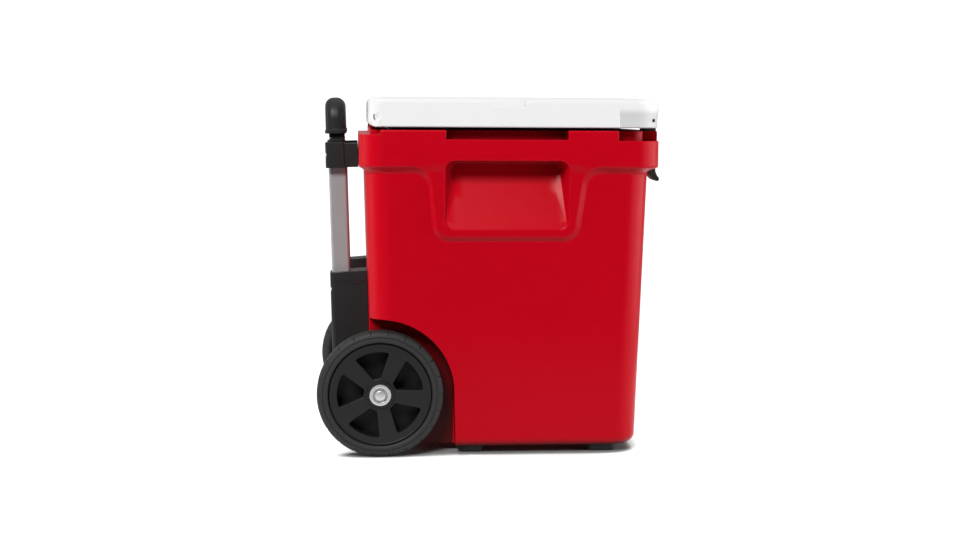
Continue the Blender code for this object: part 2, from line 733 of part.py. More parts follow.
def grip(body):
    """The inverted U that the hand pulls, hollow for the button, its bar and the tubes' tops."""
    a0, a1 = GRIP_A
    low, high = GRIP_Z
    inner, outer = GRIP_Y
    outline = [(-outer, low), (-inner, low)] + arc(-inner + 9, GRIP_BAR_Z - 9, 9, 180, 90, 4)
    outline += arc(inner - 9, GRIP_BAR_Z - 9, 9, 90, 0, 4) + [(inner, low), (outer, low)]
    outline += arc(outer - 20, high - 20, 20, 0, 90, 5) + arc(-outer + 20, high - 20, 20, 90, 180, 5)
    made = prism("grip", outline, "X", a0, a1)
    dome = [(a0, low - 5), (a1, low - 5)] + arc(a1 - 13, high - 13, 13, 0, 90, 5)
    dome += arc(a0 + 13, high - 13, 13, 90, 180, 5)
    combine(made, "INTERSECT", prism("grip_dome", dome, "Y", -130, 130))
    for word, side in SIDES.items():
        y = side * TUBE_Y
        neck = [box_section(half_a, 9.4, y, w, 4) for half_a, w in ((11.9, 461.8), (11.9, low + 3))]
        join(made, loft(f"grip_neck_{word}", neck))
    for word, side in SIDES.items():
        y = side * TUBE_Y
        cut(made, tube_passage(f"grip_socket_{word}", "inner", y, 450, TUBE_SPAN["inner"][1] + FIT))
        cut(made, prism(f"rod_way_{word}", circle(0, y, 3, 12), "Z", 490, 502))
    channel = [(-5, -106), (5, -106), (5, 106), (-5, 106)]
    cut(made, prism("bar_channel", channel, "Z", 497, 505.5))
    half_a, half_y = BUTTON_HALF
    pocket = rounded(-half_a - FIT, half_a + FIT, -half_y - FIT, half_y + FIT, 5, 3)
    cut(made, prism("button_pocket", pocket, "Z", 500, 540))
    cut(made, prism("spring_well", circle(0, 0, 4, 16), "Z", 492.5, 501))
    return finish_leaning(made, "black_plastic", body)


def spring(name, low, high, body):
    """The coil under the release bar."""
    turns, steps, radius, wire, sides = 3, 10, 2.7, 0.5, 5
    rings = []
    for i in range(turns * steps + 1):
        angle = math.tau * i / steps
        w = low + wire + (high - low - 2 * wire) * i / (turns * steps)
        ring = []
        for k in range(sides):
            tilt = math.tau * k / sides
            r = radius + wire * math.cos(tilt)
            ring.append((r * math.cos(angle), r * math.sin(angle), w + wire * math.sin(tilt)))
        rings.append(ring)
    return finish_leaning(loft(name, rings), "steel", body)


def button_parts(parent):
    body = empty("button_slide", HANDLE_FOOT_X + math.sin(-LEAN) * 510, 0, 510, parent)
    half_a, half_y = BUTTON_HALF
    key = rounded(-half_a, half_a, -half_y, half_y, 4.7, 3)
    finish_leaning(prism("grip_button", key, "Z", 505.1, 521.2), "black_plastic", body)
    bar = [(-4.5, -105), (4.5, -105), (4.5, 105), (-4.5, 105)]
    finish_leaning(prism("release_bar", bar, "Z", 501.3, 504.8), "steel", body)
    for word, side in SIDES.items():
        rod = prism(f"release_rod_{word}", circle(0, side * TUBE_Y, 2, 10), "Z", 100, 501)
        finish_leaning(rod, "steel", body)


def pull_handle(root):
    handle_bases(root)
    handle_bracket(root)
    screws(root)
    mid = empty("handle_mid_slide", HANDLE_FOOT_X, 0, 0)
    top = empty("handle_top_slide", HANDLE_FOOT_X, 0, 0, mid)
    for word, side in SIDES.items():
        y = side * TUBE_Y
        tube(f"outer_tube_{word}", "outer", y, root)
        tube(f"mid_tube_{word}", "mid", y, mid)
        mid_guide(f"mid_guide_{word}", y, mid)
        tube(f"inner_tube_{word}", "inner", y, top)
    grip(top)
    spring("button_spring", 493, 501, top)
    button_parts(top)


for leftover in list(bpy.data.objects):
    bpy.data.objects.remove(leftover)
tub = empty("tub", 0, 0, 0)
body_shell(tub)
body_foam(tub)
inner_liner(tub)
feet(tub)
axle_parts(tub)
keeper_pins(tub)
for wheel_word, wheel_side in SIDES.items():
    wheel(wheel_word, wheel_side)
hinged_lid = lid_parts()
for latch_word, latch_side in SIDES.items():
    latch(latch_word, latch_side, hinged_lid)
pull_handle(tub)
bpy.context.view_layer.update()
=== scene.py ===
"""Looks of a cool box on two wheels: moulded skins, tyres, a telescopic handle and studio light.

Lengths are millimetres, and make() turns them into metres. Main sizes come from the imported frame.
+X is the front, +Y is the left side and +Z is up. The handle's pieces are made upright and then
leaned back with the rear wall.
"""

import contextlib
import json
import math

import bmesh
import bpy
from mathutils import Matrix, Vector
from mathutils.geometry import delaunay_2d_cdt

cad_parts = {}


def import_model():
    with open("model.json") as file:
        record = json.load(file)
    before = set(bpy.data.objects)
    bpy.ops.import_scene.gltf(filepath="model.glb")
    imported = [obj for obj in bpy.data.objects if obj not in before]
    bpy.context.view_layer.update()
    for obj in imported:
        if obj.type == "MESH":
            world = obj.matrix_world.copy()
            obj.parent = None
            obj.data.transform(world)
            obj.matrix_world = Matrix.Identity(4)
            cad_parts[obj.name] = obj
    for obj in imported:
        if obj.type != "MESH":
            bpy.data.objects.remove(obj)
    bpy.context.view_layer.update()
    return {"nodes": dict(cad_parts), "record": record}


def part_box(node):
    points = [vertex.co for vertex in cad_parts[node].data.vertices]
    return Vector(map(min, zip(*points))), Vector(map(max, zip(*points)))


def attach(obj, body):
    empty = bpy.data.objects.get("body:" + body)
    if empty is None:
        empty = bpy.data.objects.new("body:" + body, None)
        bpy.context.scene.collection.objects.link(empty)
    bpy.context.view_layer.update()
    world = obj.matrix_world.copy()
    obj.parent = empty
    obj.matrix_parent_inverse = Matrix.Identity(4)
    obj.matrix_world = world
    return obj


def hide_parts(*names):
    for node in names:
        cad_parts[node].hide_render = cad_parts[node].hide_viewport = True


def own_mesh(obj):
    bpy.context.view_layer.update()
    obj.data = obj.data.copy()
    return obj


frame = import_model()

MM = 0.001
SIDES = {"left": 1, "right": -1}


def box_mm(node):
    """A CAD node's lowest and highest corner in millimetres."""
    low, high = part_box(node)
    return [v / MM for v in low], [v / MM for v in high]


SHELL_LOW, _ = box_mm("body_shell")
LID_LOW, LID_HIGH = box_mm("lid_shell")
TYRE_LOW, TYRE_HIGH = box_mm("tyre_left")
_, CAP_HIGH = box_mm("axle_cap_left")

# The tub: plan sizes at REFERENCE_Z, and the draft that widens them upwards.
REFERENCE_Z = 300
REAR_X = -179.0
FRONT_X = 228.0
HALF_WIDTH = 222.6
DRAFT = 0.0297
FLOOR_Z = SHELL_LOW[2]
FLOOR_EDGE = 14
PLAN_RADIUS = 36
CORNER_STEPS = 14

# The rim collar, whose lower face slopes out from SLOPE_Z[0] to SLOPE_Z[1].
RIM_X = (-191.1, 246.5)
RIM_HALF_WIDTH = 236
RIM_TOP_Z = 475
RIM_RADIUS_PLAN = 38
SLOPE_Z = (413.5, 423)
SLOPE_SOFT = 1.6
SLOPE_SHARES = (-0.18, -0.1, 0, 0.1, 0.18, 0.35, 0.5, 0.65, 0.82, 0.9, 1, 1.1, 1.18)
END_SLOPE_Z = (416.5, 421.5)
SIDE_NOTCH_X = (-66.5, 109.5)
SIDE_NOTCH_Z = 461.7
REAR_NOTCH_X = -160.5
REAR_NOTCH_Z = 468.3
FRONT_NOTCH_X = 182.5
FRONT_NOTCH_Z = 460.4
NOTCH_WALL_Y = 212

# The side patch that holds the raised panel and the carrying recess.
PATCH_X = (-128, 172)
PATCH_Z = (300, 446)
PANEL_BOTTOM_Z = 316.5
PANEL_FACE_Y = 228.6
PANEL_DRAFT = 0.036
PANEL_BAND_Z = (414.5, 427)
SCOOP_X = (-67.5, 111.5)
SCOOP_Z = (331, 431)
SCOOP_BACK_Y = 198
SCOOP_SHELF_Z = 408

# The food space and its liner.
LINER_WALL = 3.5
MOUTH_X = (-135.5, 184.5)
MOUTH_HALF_WIDTH = 176
WELL_FLOOR_X = (-130, 179)
WELL_FLOOR_HALF_WIDTH = 161
WELL_FLOOR_Z = 56
FLANGE_X = (-147.5, 197.5)
FLANGE_HALF_WIDTH = 190
FLANGE_Z = 470

# The wheels.
AXLE_X = (TYRE_LOW[0] + TYRE_HIGH[0]) / 2
AXLE_Z = (TYRE_LOW[2] + TYRE_HIGH[2]) / 2
AXLE = (AXLE_X, AXLE_Z)
TYRE_RADIUS = (TYRE_HIGH[2] - TYRE_LOW[2]) / 2
RIM_RADIUS = 74.7
SLEEVE_BORE = 8.3
ARCH_RADIUS = 108
ARCH_WALL_Y = 182
ARCH_FOOT_X = -48.5
SPOKES = 5
WINDOW_TURN = 29.5
WINDOW_RADII = (24, 62.6)
WINDOW_SPREAD = (8, 20.5)
WINDOW_CORNER = 3
WINDOW_FLOOR_Y = 197
TREAD_BLOCKS = 22

# The lid.
HINGE_X = -166.5
HINGE_Z = 493
HINGE = (HINGE_X, HINGE_Z)
HINGE_ROLL = 13.6
HINGE_BORE = 3.8
HINGE_EAR_Y = (170, 200)
LATCH_Y = (148, 182)
LATCH_PIN = (235.5, 490)
LATCH_BORE = 2.3

# The pull handle, in its leaning frame: a is across it, w is along it.
LEAN = math.atan(DRAFT)
HANDLE_FOOT_X = -209.7
LEANING = Matrix.Translation(Vector((HANDLE_FOOT_X, 0, 0)) * MM) @ Matrix.Rotation(-LEAN, 4, "Y")
TUBE_Y = 102
TUBE_HALF = {"outer": (13.5, 10.0), "mid": (11.7, 8.2), "inner": (9.9, 6.4)}
TUBE_SPAN = {"outer": (62, 452), "mid": (70, 455), "inner": (78, 496)}
TUBE_WALL = 1.5
BASE_A = (-16.5, 39.2)
BASE_Y = (77, 127)
BASE_Z = (50, 263)
BRACKET_A = (-17.5, 31.1)
BRACKET_Z = (417, 455)
SCREW_Y = (84.5, 119.5)
SPRING_SPAN = (493, 501)

# The surroundings' strength behind the camera and beyond the object.
AMBIENT = (0.0, 0.5)
# The light that a white floor throws up, and the strength of the white that the camera sees.
BOUNCE = 0.45
BACKDROP = 1.2


# Materials


def shader_of(name):
    """A new material, its node tree and its Principled shader."""
    made = bpy.data.materials.new(name)
    made.use_nodes = True
    return made, made.node_tree, made.node_tree.nodes["Principled BSDF"]


def feed(made, inputs):
    """Fills a shader node's inputs. Each value is a constant or another node's output."""
    for socket, value in inputs.items():
        if isinstance(value, bpy.types.NodeSocket):
            made.id_data.links.new(value, made.inputs[socket])
        else:
            made.inputs[socket].default_value = value


def node(tree, kind, output, inputs, **settings):
    """An output of a new shader node."""
    made = tree.nodes.new("ShaderNode" + kind)
    for setting, value in settings.items():
        setattr(made, setting, value)
    feed(made, inputs)
    return made.outputs[output]


def spot_of(tree):
    """Object coordinates."""
    return node(tree, "TexCoord", "Object", {})


def noise(tree, scale, detail=2.0, stretch=(1, 1, 1)):
    """A noise value in object coordinates."""
    spot = node(tree, "Mapping", "Vector", {"Vector": spot_of(tree), "Scale": stretch})
    return node(tree, "TexNoise", "Fac", {"Vector": spot, "Scale": scale, "Detail": detail})


def spread(tree, value, low, high, start=0, stop=1):
    """A value from start to stop, mapped to another range."""
    ends = {"From Min": start, "From Max": stop, "To Min": low, "To Max": high}
    return node(tree, "MapRange", "Result", {"Value": value, **ends})


def axis(tree, vector, name):
    return node(tree, "SeparateXYZ", name, {"Vector": vector})


def product(tree, first, second):
    return node(tree, "Math", "Value", {0: first, 1: second}, operation="MULTIPLY")


def blend(tree, share, first, second):
    """A colour between two colours."""
    return node(tree, "Mix", "Result", {"Factor": share, "A": first, "B": second}, data_type="RGBA")


def bumps(tree, height, strength, distance):
    bump = {"Height": height, "Strength": strength, "Distance": distance * MM}
    return node(tree, "Bump", "Normal", bump)


def plastic(name, colour, roughness, specular, grain, shade=0.06):
    """Moulded plastic: a fine grain, with slow changes of tone and gloss."""
    made, tree, shader = shader_of(name)
    dark = [c * (1 - shade) for c in colour]
    look = {"Base Color": blend(tree, noise(tree, 9, 3), (*dark, 1), (*colour, 1))}
    look["Roughness"] = spread(tree, noise(tree, 60, 4), roughness - 0.05, roughness + 0.05)
    look["Specular IOR Level"] = specular
    look["Normal"] = bumps(tree, noise(tree, 2600, 2), grain, 0.05)
    feed(shader, look)
    return made


def toned(made, colour, share):
    """Turns a material towards a colour, by a share from 0 to 1."""
    tree = made.node_tree
    base = tree.nodes["Principled BSDF"].inputs["Base Color"]
    plain = base.links[0].from_socket
    tree.links.new(blend(tree, share, plain, (*colour, 1)), base)


def recess_painted_shade(made, colour, reach, shut=0.25, open_from=0.8):
    """Paints shade into a material's colour in narrow gaps and recesses, within reach of its surface."""
    tree = made.node_tree
    openness = node(tree, "AmbientOcclusion", "AO", {"Distance": reach * MM}, samples=6)
    toned(made, colour, spread(tree, openness, 1, 0, shut, open_from))


def lit_face_painted_shade(made, colour, towards, start, stop):
    """Paints shade into a plastic's colour where its surface faces the main light, so that the lit faces
    don't glare.
    """
    tree = made.node_tree
    ways = {0: node(tree, "NewGeometry", "Normal", {}), 1: towards}
    facing = node(tree, "VectorMath", "Value", ways, operation="DOT_PRODUCT")
    toned(made, colour, spread(tree, facing, 0, 1, start, stop))


def corner_painted_shade(made, colour, from_x, fade_z):
    """Paints shade over the lid's front corners: a duller grey that fades out upwards."""
    tree = made.node_tree
    spot = spot_of(tree)
    along = spread(tree, axis(tree, spot, "X"), 0, 1, (from_x - 0.5) * MM, (from_x + 0.5) * MM)
    down = spread(tree, axis(tree, spot, "Z"), 1, 0, *(z * MM for z in fade_z))
    toned(made, colour, product(tree, along, down))


def arch_tone(made, colour, fade_z):
    """Darkens the wheel arches, which the wheels and the tub keep in shade."""
    tree = made.node_tree
    spot = spot_of(tree)
    centre = (AXLE_X * MM, 0, AXLE_Z * MM)
    away = node(tree, "VectorMath", "Vector", {0: spot, 1: centre}, operation="SUBTRACT")
    ahead = node(tree, "VectorMath", "Vector", {0: away, 1: (0, -1, 0)}, operation="MAXIMUM")
    flat = node(tree, "VectorMath", "Vector", {0: ahead, 1: (1, 0, 1)}, operation="MULTIPLY")
    reach = node(tree, "VectorMath", "Value", {0: flat}, operation="LENGTH")
    sideways = node(tree, "Math", "Value", {0: axis(tree, spot, "Y")}, operation="ABSOLUTE")
    step = 0.1 * MM
    rim = (ARCH_RADIUS + 0.4) * MM
    wall = (ARCH_WALL_Y - 0.5) * MM
    near = spread(tree, reach, 1, 0, rim - step, rim)
    out = spread(tree, sideways, 0, 1, wall - step, wall)
    low = spread(tree, axis(tree, spot, "Z"), 1, 0, *(z * MM for z in fade_z))
    toned(made, colour, product(tree, product(tree, near, out), low))


def metal(name, colour, roughness, stretch, metallic):
    """Metal with fine lines drawn along it."""
    made, tree, shader = shader_of(name)
    lines = noise(tree, 500, 3, stretch)
    dark = [c * 0.9 for c in colour]
    look = {"Base Color": blend(tree, lines, (*dark, 1), (*colour, 1)), "Metallic": metallic}
    look["Roughness"] = spread(tree, lines, roughness - 0.06, roughness + 0.08)
    look["Normal"] = bumps(tree, lines, 0.12, 0.04)
    feed(shader, look)
    return made


def foam_material():
    made, tree, shader = shader_of("foam_cells")
    cells = noise(tree, 700, 4)
    base = blend(tree, cells, (0.62, 0.55, 0.36, 1), (0.86, 0.8, 0.6, 1))
    feed(shader, {"Base Color": base, "Roughness": 0.95, "Normal": bumps(tree, cells, 0.6, 0.4)})
    return made


RED = plastic("red_moulded", (0.49, 0.0002, 0.0085), 0.32, 0.11, 0.25)
# Painted shade: the red turns dark red in gaps and recesses within 45 mm.
recess_painted_shade(RED, (0.06, 0.0002, 0.001), 45, 0.1, 0.5)
arch_tone(RED, (0.065, 0.0002, 0.001), (AXLE_Z + 30, AXLE_Z + 100))
WHITE = plastic("white_moulded", (0.79, 0.79, 0.79), 0.4, 0.3, 0.2, 0.02)
LID = plastic("white_lid", (0.79, 0.79, 0.79), 0.4, 0.3, 0.2, 0.02)
# Painted shade: both whites turn greyer where they face the key light.
for lid_white in (WHITE, LID):
    lit_face_painted_shade(lid_white, (0.62, 0.62, 0.62), (-0.62, -0.2, 0.76), 0.2, 0.75)
# Painted shade: a duller grey over the lid's front corners.
corner_painted_shade(LID, (0.6, 0.6, 0.6), FRONT_NOTCH_X + 1, (499, 507))
LINER = plastic("liner_moulded", (0.8, 0.81, 0.82), 0.35, 0.4, 0.15, 0.02)
BLACK = plastic("black_moulded", (0.013, 0.0133, 0.0135), 0.44, 0.28, 0.5, 0.15)
WHEEL = plastic("wheel_moulded", (0.0095, 0.0095, 0.0095), 0.5, 0.24, 0.5, 0.12)
# Painted shade: the wheels turn darker in their spoke windows and other recesses.
recess_painted_shade(WHEEL, (0.0006, 0.0006, 0.0006), 30, 0.2, 0.55)
RUBBER_LATCH = plastic("latch_rubber", (0.045, 0.057, 0.053), 0.45, 0.4, 0.4, 0.15)
RUBBER = plastic("black_rubber_soft", (0.022, 0.0223, 0.0223), 0.6, 0.3, 0.8, 0.2)
ALUMINIUM = metal("anodised_tube", (0.45, 0.45, 0.455), 0.36, (1, 1, 0.02), 0.5)
STEEL = metal("plated_steel", (0.6, 0.6, 0.61), 0.3, (1, 0.3, 1), 0.55)
# Painted shade: the steel turns dark in its fine grooves and gaps.
recess_painted_shade(STEEL, (0.01, 0.01, 0.01), 5)
FOAM = foam_material()


# Outlines


def arc(x, y, radius, start, end, steps):
    """Points of an arc, with its angles in degrees."""
    angles = [math.radians(start + (end - start) * i / steps) for i in range(steps + 1)]
    return [(x + radius * math.cos(t), y + radius * math.sin(t)) for t in angles]


def circle(x, y, radius, steps=48):
    return arc(x, y, radius, 0, 360, steps)[:-1]


def oblong(x0, x1, y0, y1):
    return [(x0, y0), (x1, y0), (x1, y1), (x0, y1)]


def cornered(corners, steps=8):
    """A closed outline round four (x, y, radius) corners, from the one at high x and low y."""
    points = []
    for quarter, (x, y, radius) in enumerate(corners):
        points += arc(x, y, radius, 90 * quarter - 90, 90 * quarter, steps)
    return points


def rounded(x0, x1, y0, y1, radius, steps=8):
    """A rectangle with round corners. radius is one value, or a pair for the high-X and low-X corners."""
    high, low = radius if isinstance(radius, tuple) else (radius, radius)
    front = ((x1 - high, y0 + high, high), (x1 - high, y1 - high, high))
    return cornered((*front, (x0 + low, y1 - low, low), (x0 + low, y0 + low, low)), steps)


def level(outline, z):
    """A level ring of an outline's points."""
    return [(x, y, z) for x, y in outline]


def plan(x0, x1, half_width, radius, z, steps=CORNER_STEPS):
    """A level ring, symmetrical about the XZ plane."""
    return level(rounded(x0, x1, -half_width, half_width, radius, steps), z)


def between(low, high, share):
    return low + (high - low) * share


def bend(distance, soft):
    """0 before 0 and distance after it, with a round corner of half-length soft."""
    if distance <= -soft:
        return 0
    if distance >= soft:
        return distance
    return (distance + soft) ** 2 / (4 * soft)


def ramp(value, low, high, soft):
    """0 below low, 1 above high and straight between them, with round ends."""
    return (bend(value - low, soft) - bend(value - high, soft)) / (high - low)


def sided(side, low, high):
    """A stretch of |y| on one side, as (low y, high y)."""
    return tuple(sorted((side * low, side * high)))


# Objects


@contextlib.contextmanager
def edited(mesh):
    """A mesh's points, edges and faces, which are written back after the edit."""
    shape = bmesh.new()
    shape.from_mesh(mesh)
    yield shape
    shape.to_mesh(mesh)
    shape.free()


def make(points, faces):
    mesh = bpy.data.meshes.new("shape")
    mesh.from_pydata([Vector(p) * MM for p in points], [], faces)
    with edited(mesh) as shape:
        bmesh.ops.recalc_face_normals(shape, faces=shape.faces)
    made = bpy.data.objects.new("shape", mesh)
    bpy.context.scene.collection.objects.link(made)
    return made


def skin(rings, closed=False, gaps=()):
    """Points and faces through rings of equal length. Each gap is a ring's and a point's number."""
    count = len(rings[0])
    points = [p for ring in rings for p in ring]
    faces = [] if closed else [list(range(count)), list(range(len(points) - count, len(points)))]
    for r in range(len(rings) if closed else len(rings) - 1):
        here, there = r * count, (r + 1) % len(rings) * count
        for i in range(count):
            if (r, i) not in gaps:
                j = (i + 1) % count
                faces.append([here + i, here + j, there + j, there + i])
    return points, faces


def loft(rings, closed=False):
    """A skin through rings, with flat ends, or joined up when closed is set."""
    return make(*skin(rings, closed))


def prism(outline, along, low, high):
    """An outline swept along X, Y or Z. The outline's numbers are the other two axes, in order."""
    turns = {"X": (2, 0, 1), "Y": (0, 2, 1), "Z": (0, 1, 2)}[along]
    return loft([[[(*p, depth)[i] for i in turns] for p in outline] for depth in (low, high)])


def across(outline, side, low, high):
    """An XZ outline swept over a stretch of |y| on one side."""
    return prism(outline, "Y", *sided(side, low, high))


def band(outer, inner, low, high):
    """A ring between two level outlines of equal length, from one height to another."""
    levels = ((outer, low), (outer, high), (inner, high), (inner, low))
    return loft([level(outline, z) for outline, z in levels], closed=True)


def turned(profile, side, centre, steps=96):
    """A closed profile of (radius, |y|) turned about the line along Y through centre, an (x, z) pair."""
    x, z = centre
    rings = []
    for turn in range(steps):
        angle = math.tau * turn / steps
        rings.append([(x + r * math.cos(angle), side * y, z + r * math.sin(angle)) for r, y in profile])
    return loft(rings, closed=True)


def bake(thing):
    """Applies every modifier, and removes the helpers that they used."""
    bpy.context.view_layer.update()
    graph = bpy.context.evaluated_depsgraph_get()
    mesh = bpy.data.meshes.new_from_object(thing.evaluated_get(graph))
    helpers = [m.object for m in thing.modifiers if m.type == "BOOLEAN"]
    thing.modifiers.clear()
    thing.data = mesh
    for helper in helpers:
        bpy.data.objects.remove(helper)


def combine(target, operation, *helpers):
    for helper in helpers:
        modifier = target.modifiers.new("boolean", "BOOLEAN")
        modifier.operation = operation
        modifier.object = helper
    bake(target)


def cut(target, *helpers):
    combine(target, "DIFFERENCE", *helpers)


def join(target, *helpers):
    combine(target, "UNION", *helpers)


def bevel(thing, width, segments=3, angle=35):
    """Welds points that a Boolean left together, and eases the edges."""
    with edited(thing.data) as shape:
        bmesh.ops.remove_doubles(shape, verts=shape.verts, dist=0.02 * MM)
        bmesh.ops.dissolve_degenerate(shape, edges=shape.edges, dist=0.02 * MM)
    modifier = thing.modifiers.new("bevel", "BEVEL")
    modifier.width = width * MM
    modifier.segments = segments
    modifier.limit_method = "ANGLE"
    modifier.angle_limit = math.radians(angle)
    modifier.use_clamp_overlap = False
    bake(thing)


def finish(name, thing, material, body, *nodes, leaning=False, sharp=50):
    """Names and shades a piece, and hands it to its body in place of its CAD nodes."""
    thing.name = name
    if leaning:
        thing.data.transform(LEANING)
    thing.data.materials.clear()
    thing.data.materials.append(material)
    thing.data.shade_smooth()
    thing.data.set_sharp_from_angle(angle=math.radians(sharp))
    even = thing.modifiers.new("even_normals", "WEIGHTED_NORMAL")
    even.keep_sharp = True
    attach(thing, body)
    if nodes:
        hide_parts(*nodes)


# The tub


def collar_share(z):
    """How far the tub's plan has grown from the wall to the rim collar at a height."""
    return ramp(z, *SLOPE_Z, SLOPE_SOFT)


def wall_y(z):
    """|y| of the tub's side wall, without the collar."""
    return HALF_WIDTH + (z - REFERENCE_Z) * DRAFT


def side_y(z):
    return between(wall_y(z), RIM_HALF_WIDTH, collar_share(z))


def tub_ring(z, inset=0):
    """The tub's plan at a height, with extra points where the side patches start and end."""
    grow = (z - REFERENCE_Z) * DRAFT - inset
    share = collar_share(z)
    end_share = ramp(z, *END_SLOPE_Z, 1.4)
    x0 = between(REAR_X - grow, RIM_X[0] + inset, end_share)
    x1 = between(FRONT_X + grow, RIM_X[1] - inset, end_share)
    half = between(HALF_WIDTH + grow, RIM_HALF_WIDTH - inset, share)
    radius = between(PLAN_RADIUS, RIM_RADIUS_PLAN, share) - inset * 0.5
    points = rounded(x0, x1, -half, half, radius, CORNER_STEPS)
    half_way = len(points) // 2
    left = [(PATCH_X[1], half), (PATCH_X[0], half)]
    right = [(PATCH_X[0], -half), (PATCH_X[1], -half)]
    ordered = points[:half_way] + left + points[half_way:] + right
    return level(ordered, z)


def tub_levels():
    """Pairs of height and inset, from the floor to the rim's top."""
    levels = [(z, x) for x, z in arc(FLOOR_EDGE, FLOOR_Z + FLOOR_EDGE, FLOOR_EDGE, 270, 180, 8)]
    levels += [(120, 0), (220, 0), (PATCH_Z[0], 0), (360, 0)]
    slope = SLOPE_Z[1] - SLOPE_Z[0]
    levels += [(SLOPE_Z[0] + slope * share, 0) for share in SLOPE_SHARES]
    levels.append((PATCH_Z[1], 0))
    edge = 2.5
    return levels + [(z, x) for x, z in arc(edge, RIM_TOP_Z - edge, edge, 180, 90, 5)]


def panel_y(z):
    """|y| of the raised panel's face, which steps out to the collar at its top."""
    face = PANEL_FACE_Y + (z - PANEL_BOTTOM_Z) * PANEL_DRAFT
    return between(face, RIM_HALF_WIDTH, ramp(z, *PANEL_BAND_Z, 1.5))


def panel_outline(foot_z, left_x, right_x, flare, flare_z, corner):
    """The panel's edge from the collar's lower edge at the rear, round the panel, to the front.

    left_x and right_x each hold the edge's place under the flare and above the bottom corner.
    """
    (left_top, left_low), (right_top, right_low) = left_x, right_x
    points = [(PATCH_X[0], flare_z), (left_top - flare - 8, flare_z)]
    points += arc(left_top - flare, flare_z - flare, flare, 90, 0, 10)
    points += arc(left_low + corner, foot_z + corner, corner, 180, 270, 10)
    points += arc(right_low - corner, foot_z + corner, corner, 270, 360, 10)
    points += arc(right_top + flare, flare_z - flare, flare, 180, 90, 10)
    points += [(right_top + flare + 8, flare_z), (PATCH_X[1], flare_z)]
    return points


def patch_contours():
    """Lines of (x, y, z) that the side patch's mesh follows, on the +Y side."""
    base = panel_outline(314.5, (-90.5, -85.5), (137.5, 130.5), 24, SLOPE_Z[0], 25)
    face = panel_outline(321.5, (-86, -80), (129.5, 121.5), 30, SLOPE_Z[1], 18)
    lines = []
    for share in SLOPE_SHARES:
        line = []
        for (x0, z0), (x1, z1) in zip(base, face):
            x, z = between(x0, x1, share), between(z0, z1, share)
            y = between(wall_y(z), panel_y(z), ramp(share, 0, 1, 0.18))
            line.append((x, y, z))
        lines.append(line)
    return lines


def scoop_floor_y(z):
    """|y| of the recess's floor: a ramp up to a shelf line, and an upright back above it."""
    low = SCOOP_Z[0] + 2
    slope = (SCOOP_BACK_Y - panel_y(low) + 0.6) / (SCOOP_SHELF_Z - low)
    return SCOOP_BACK_Y - slope * bend(SCOOP_SHELF_Z - z, 7)


def scoop_lines():
    """Closed lines of (x, y, z) from the recess's mouth in to its floor, on the +Y side."""
    x0, x1 = SCOOP_X
    z0, z1 = SCOOP_Z
    lip = 2.2
    lines = []

    def mouth(grow):
        low, high = 16, 13
        front = ((x1 - low, z0 + low, low + grow), (x1 - high, z1 - high, high + grow))
        return cornered((*front, (x0 + high, z1 - high, high + grow), (x0 + low, z0 + low, low + grow)))

    edge = mouth(0)
    front = ((x1 - 16, z0 + 14.5, 13), (x1 - 20.5, z1 - 13.5, 10))
    bottom = cornered((*front, (x0 + 21, z1 - 13.5, 10), (x0 + 16, z0 + 14.5, 13)))
    depths = [panel_y(z) - scoop_floor_y(zb) for (_, z), (_, zb) in zip(edge, bottom)]
    for angle in (0, 22.5, 45, 67.5, 90):
        turn = math.radians(angle)
        line = []
        for (x, z), depth in zip(mouth(lip * (1 - math.sin(turn))), depths):
            drop = min(lip, max(depth, 0.1) * 0.5) * (1 - math.cos(turn))
            line.append((x, panel_y(z) - drop, z))
        lines.append(line)
    start = lines[-1]
    for share in (0.2, 0.4, 0.6, 0.7, 0.8, 0.9, 1):
        line = []
        for (x, y, z), (xb, zb) in zip(start, bottom):
            fall = ramp(share, 0, 0.8, 0.2) if share > 0.6 else share / 0.8
            floor = scoop_floor_y(zb)
            line.append((between(x, xb, share), between(y, floor, fall), between(z, zb, share)))
        lines.append(line)
    return lines


def scoop_grid():
    """Points over the recess's floor, and across the step at the panel's top."""
    x0, x1 = SCOOP_X[0] + 16, SCOOP_X[1] - 16
    heights = [340, 352, 364, 376, 388, 396, 400, 403, 406, 409, 412, 416, 421]
    points = []
    for i in range(13):
        x = between(x0, x1, i / 12)
        points += [(x, scoop_floor_y(z), z) for z in heights]
    band = [PANEL_BAND_Z[0] + step for step in (-2, 0, 2, 6, 10.5, 12.5, 14.5)]
    for x in (-82, -79, -75, -72, 116, 119, 123, 126):
        points += [(x, panel_y(z), z) for z in band]
    return points


def patch_boundary(levels):
    """The patch's own edge, which shares its points with the tub's rings."""
    heights = [z for z, _ in levels if PATCH_Z[0] <= z <= PATCH_Z[1]]
    rear = [(PATCH_X[0], side_y(z), z) for z in heights]
    front = [(PATCH_X[1], side_y(z), z) for z in heights]
    return front + rear[::-1]


def side_patch(levels):
    """Points and triangles of the +Y side's patch."""
    points, edges = [], []

    def add(line, closed):
        first = len(points)
        points.extend(line)
        count = len(line)
        last = count if closed else count - 1
        edges.extend((first + i, first + (i + 1) % count) for i in range(last))

    add(patch_boundary(levels), True)
    for line in patch_contours():
        inner = [p for p in line if PATCH_X[0] < p[0] < PATCH_X[1]]
        add(inner, False)
    for line in scoop_lines():
        add(line, True)
    points.extend(scoop_grid())
    flat = [Vector((x, z)) for x, _, z in points]
    verts, _, faces, origins, _, _ = delaunay_2d_cdt(flat, edges, [], 0, 1e-4)
    placed = []
    for spot, made_from in zip(verts, origins):
        if not made_from:
            raise ValueError(f"the patch's lines cross at {spot}")
        placed.append(points[made_from[0]])
    return placed, faces


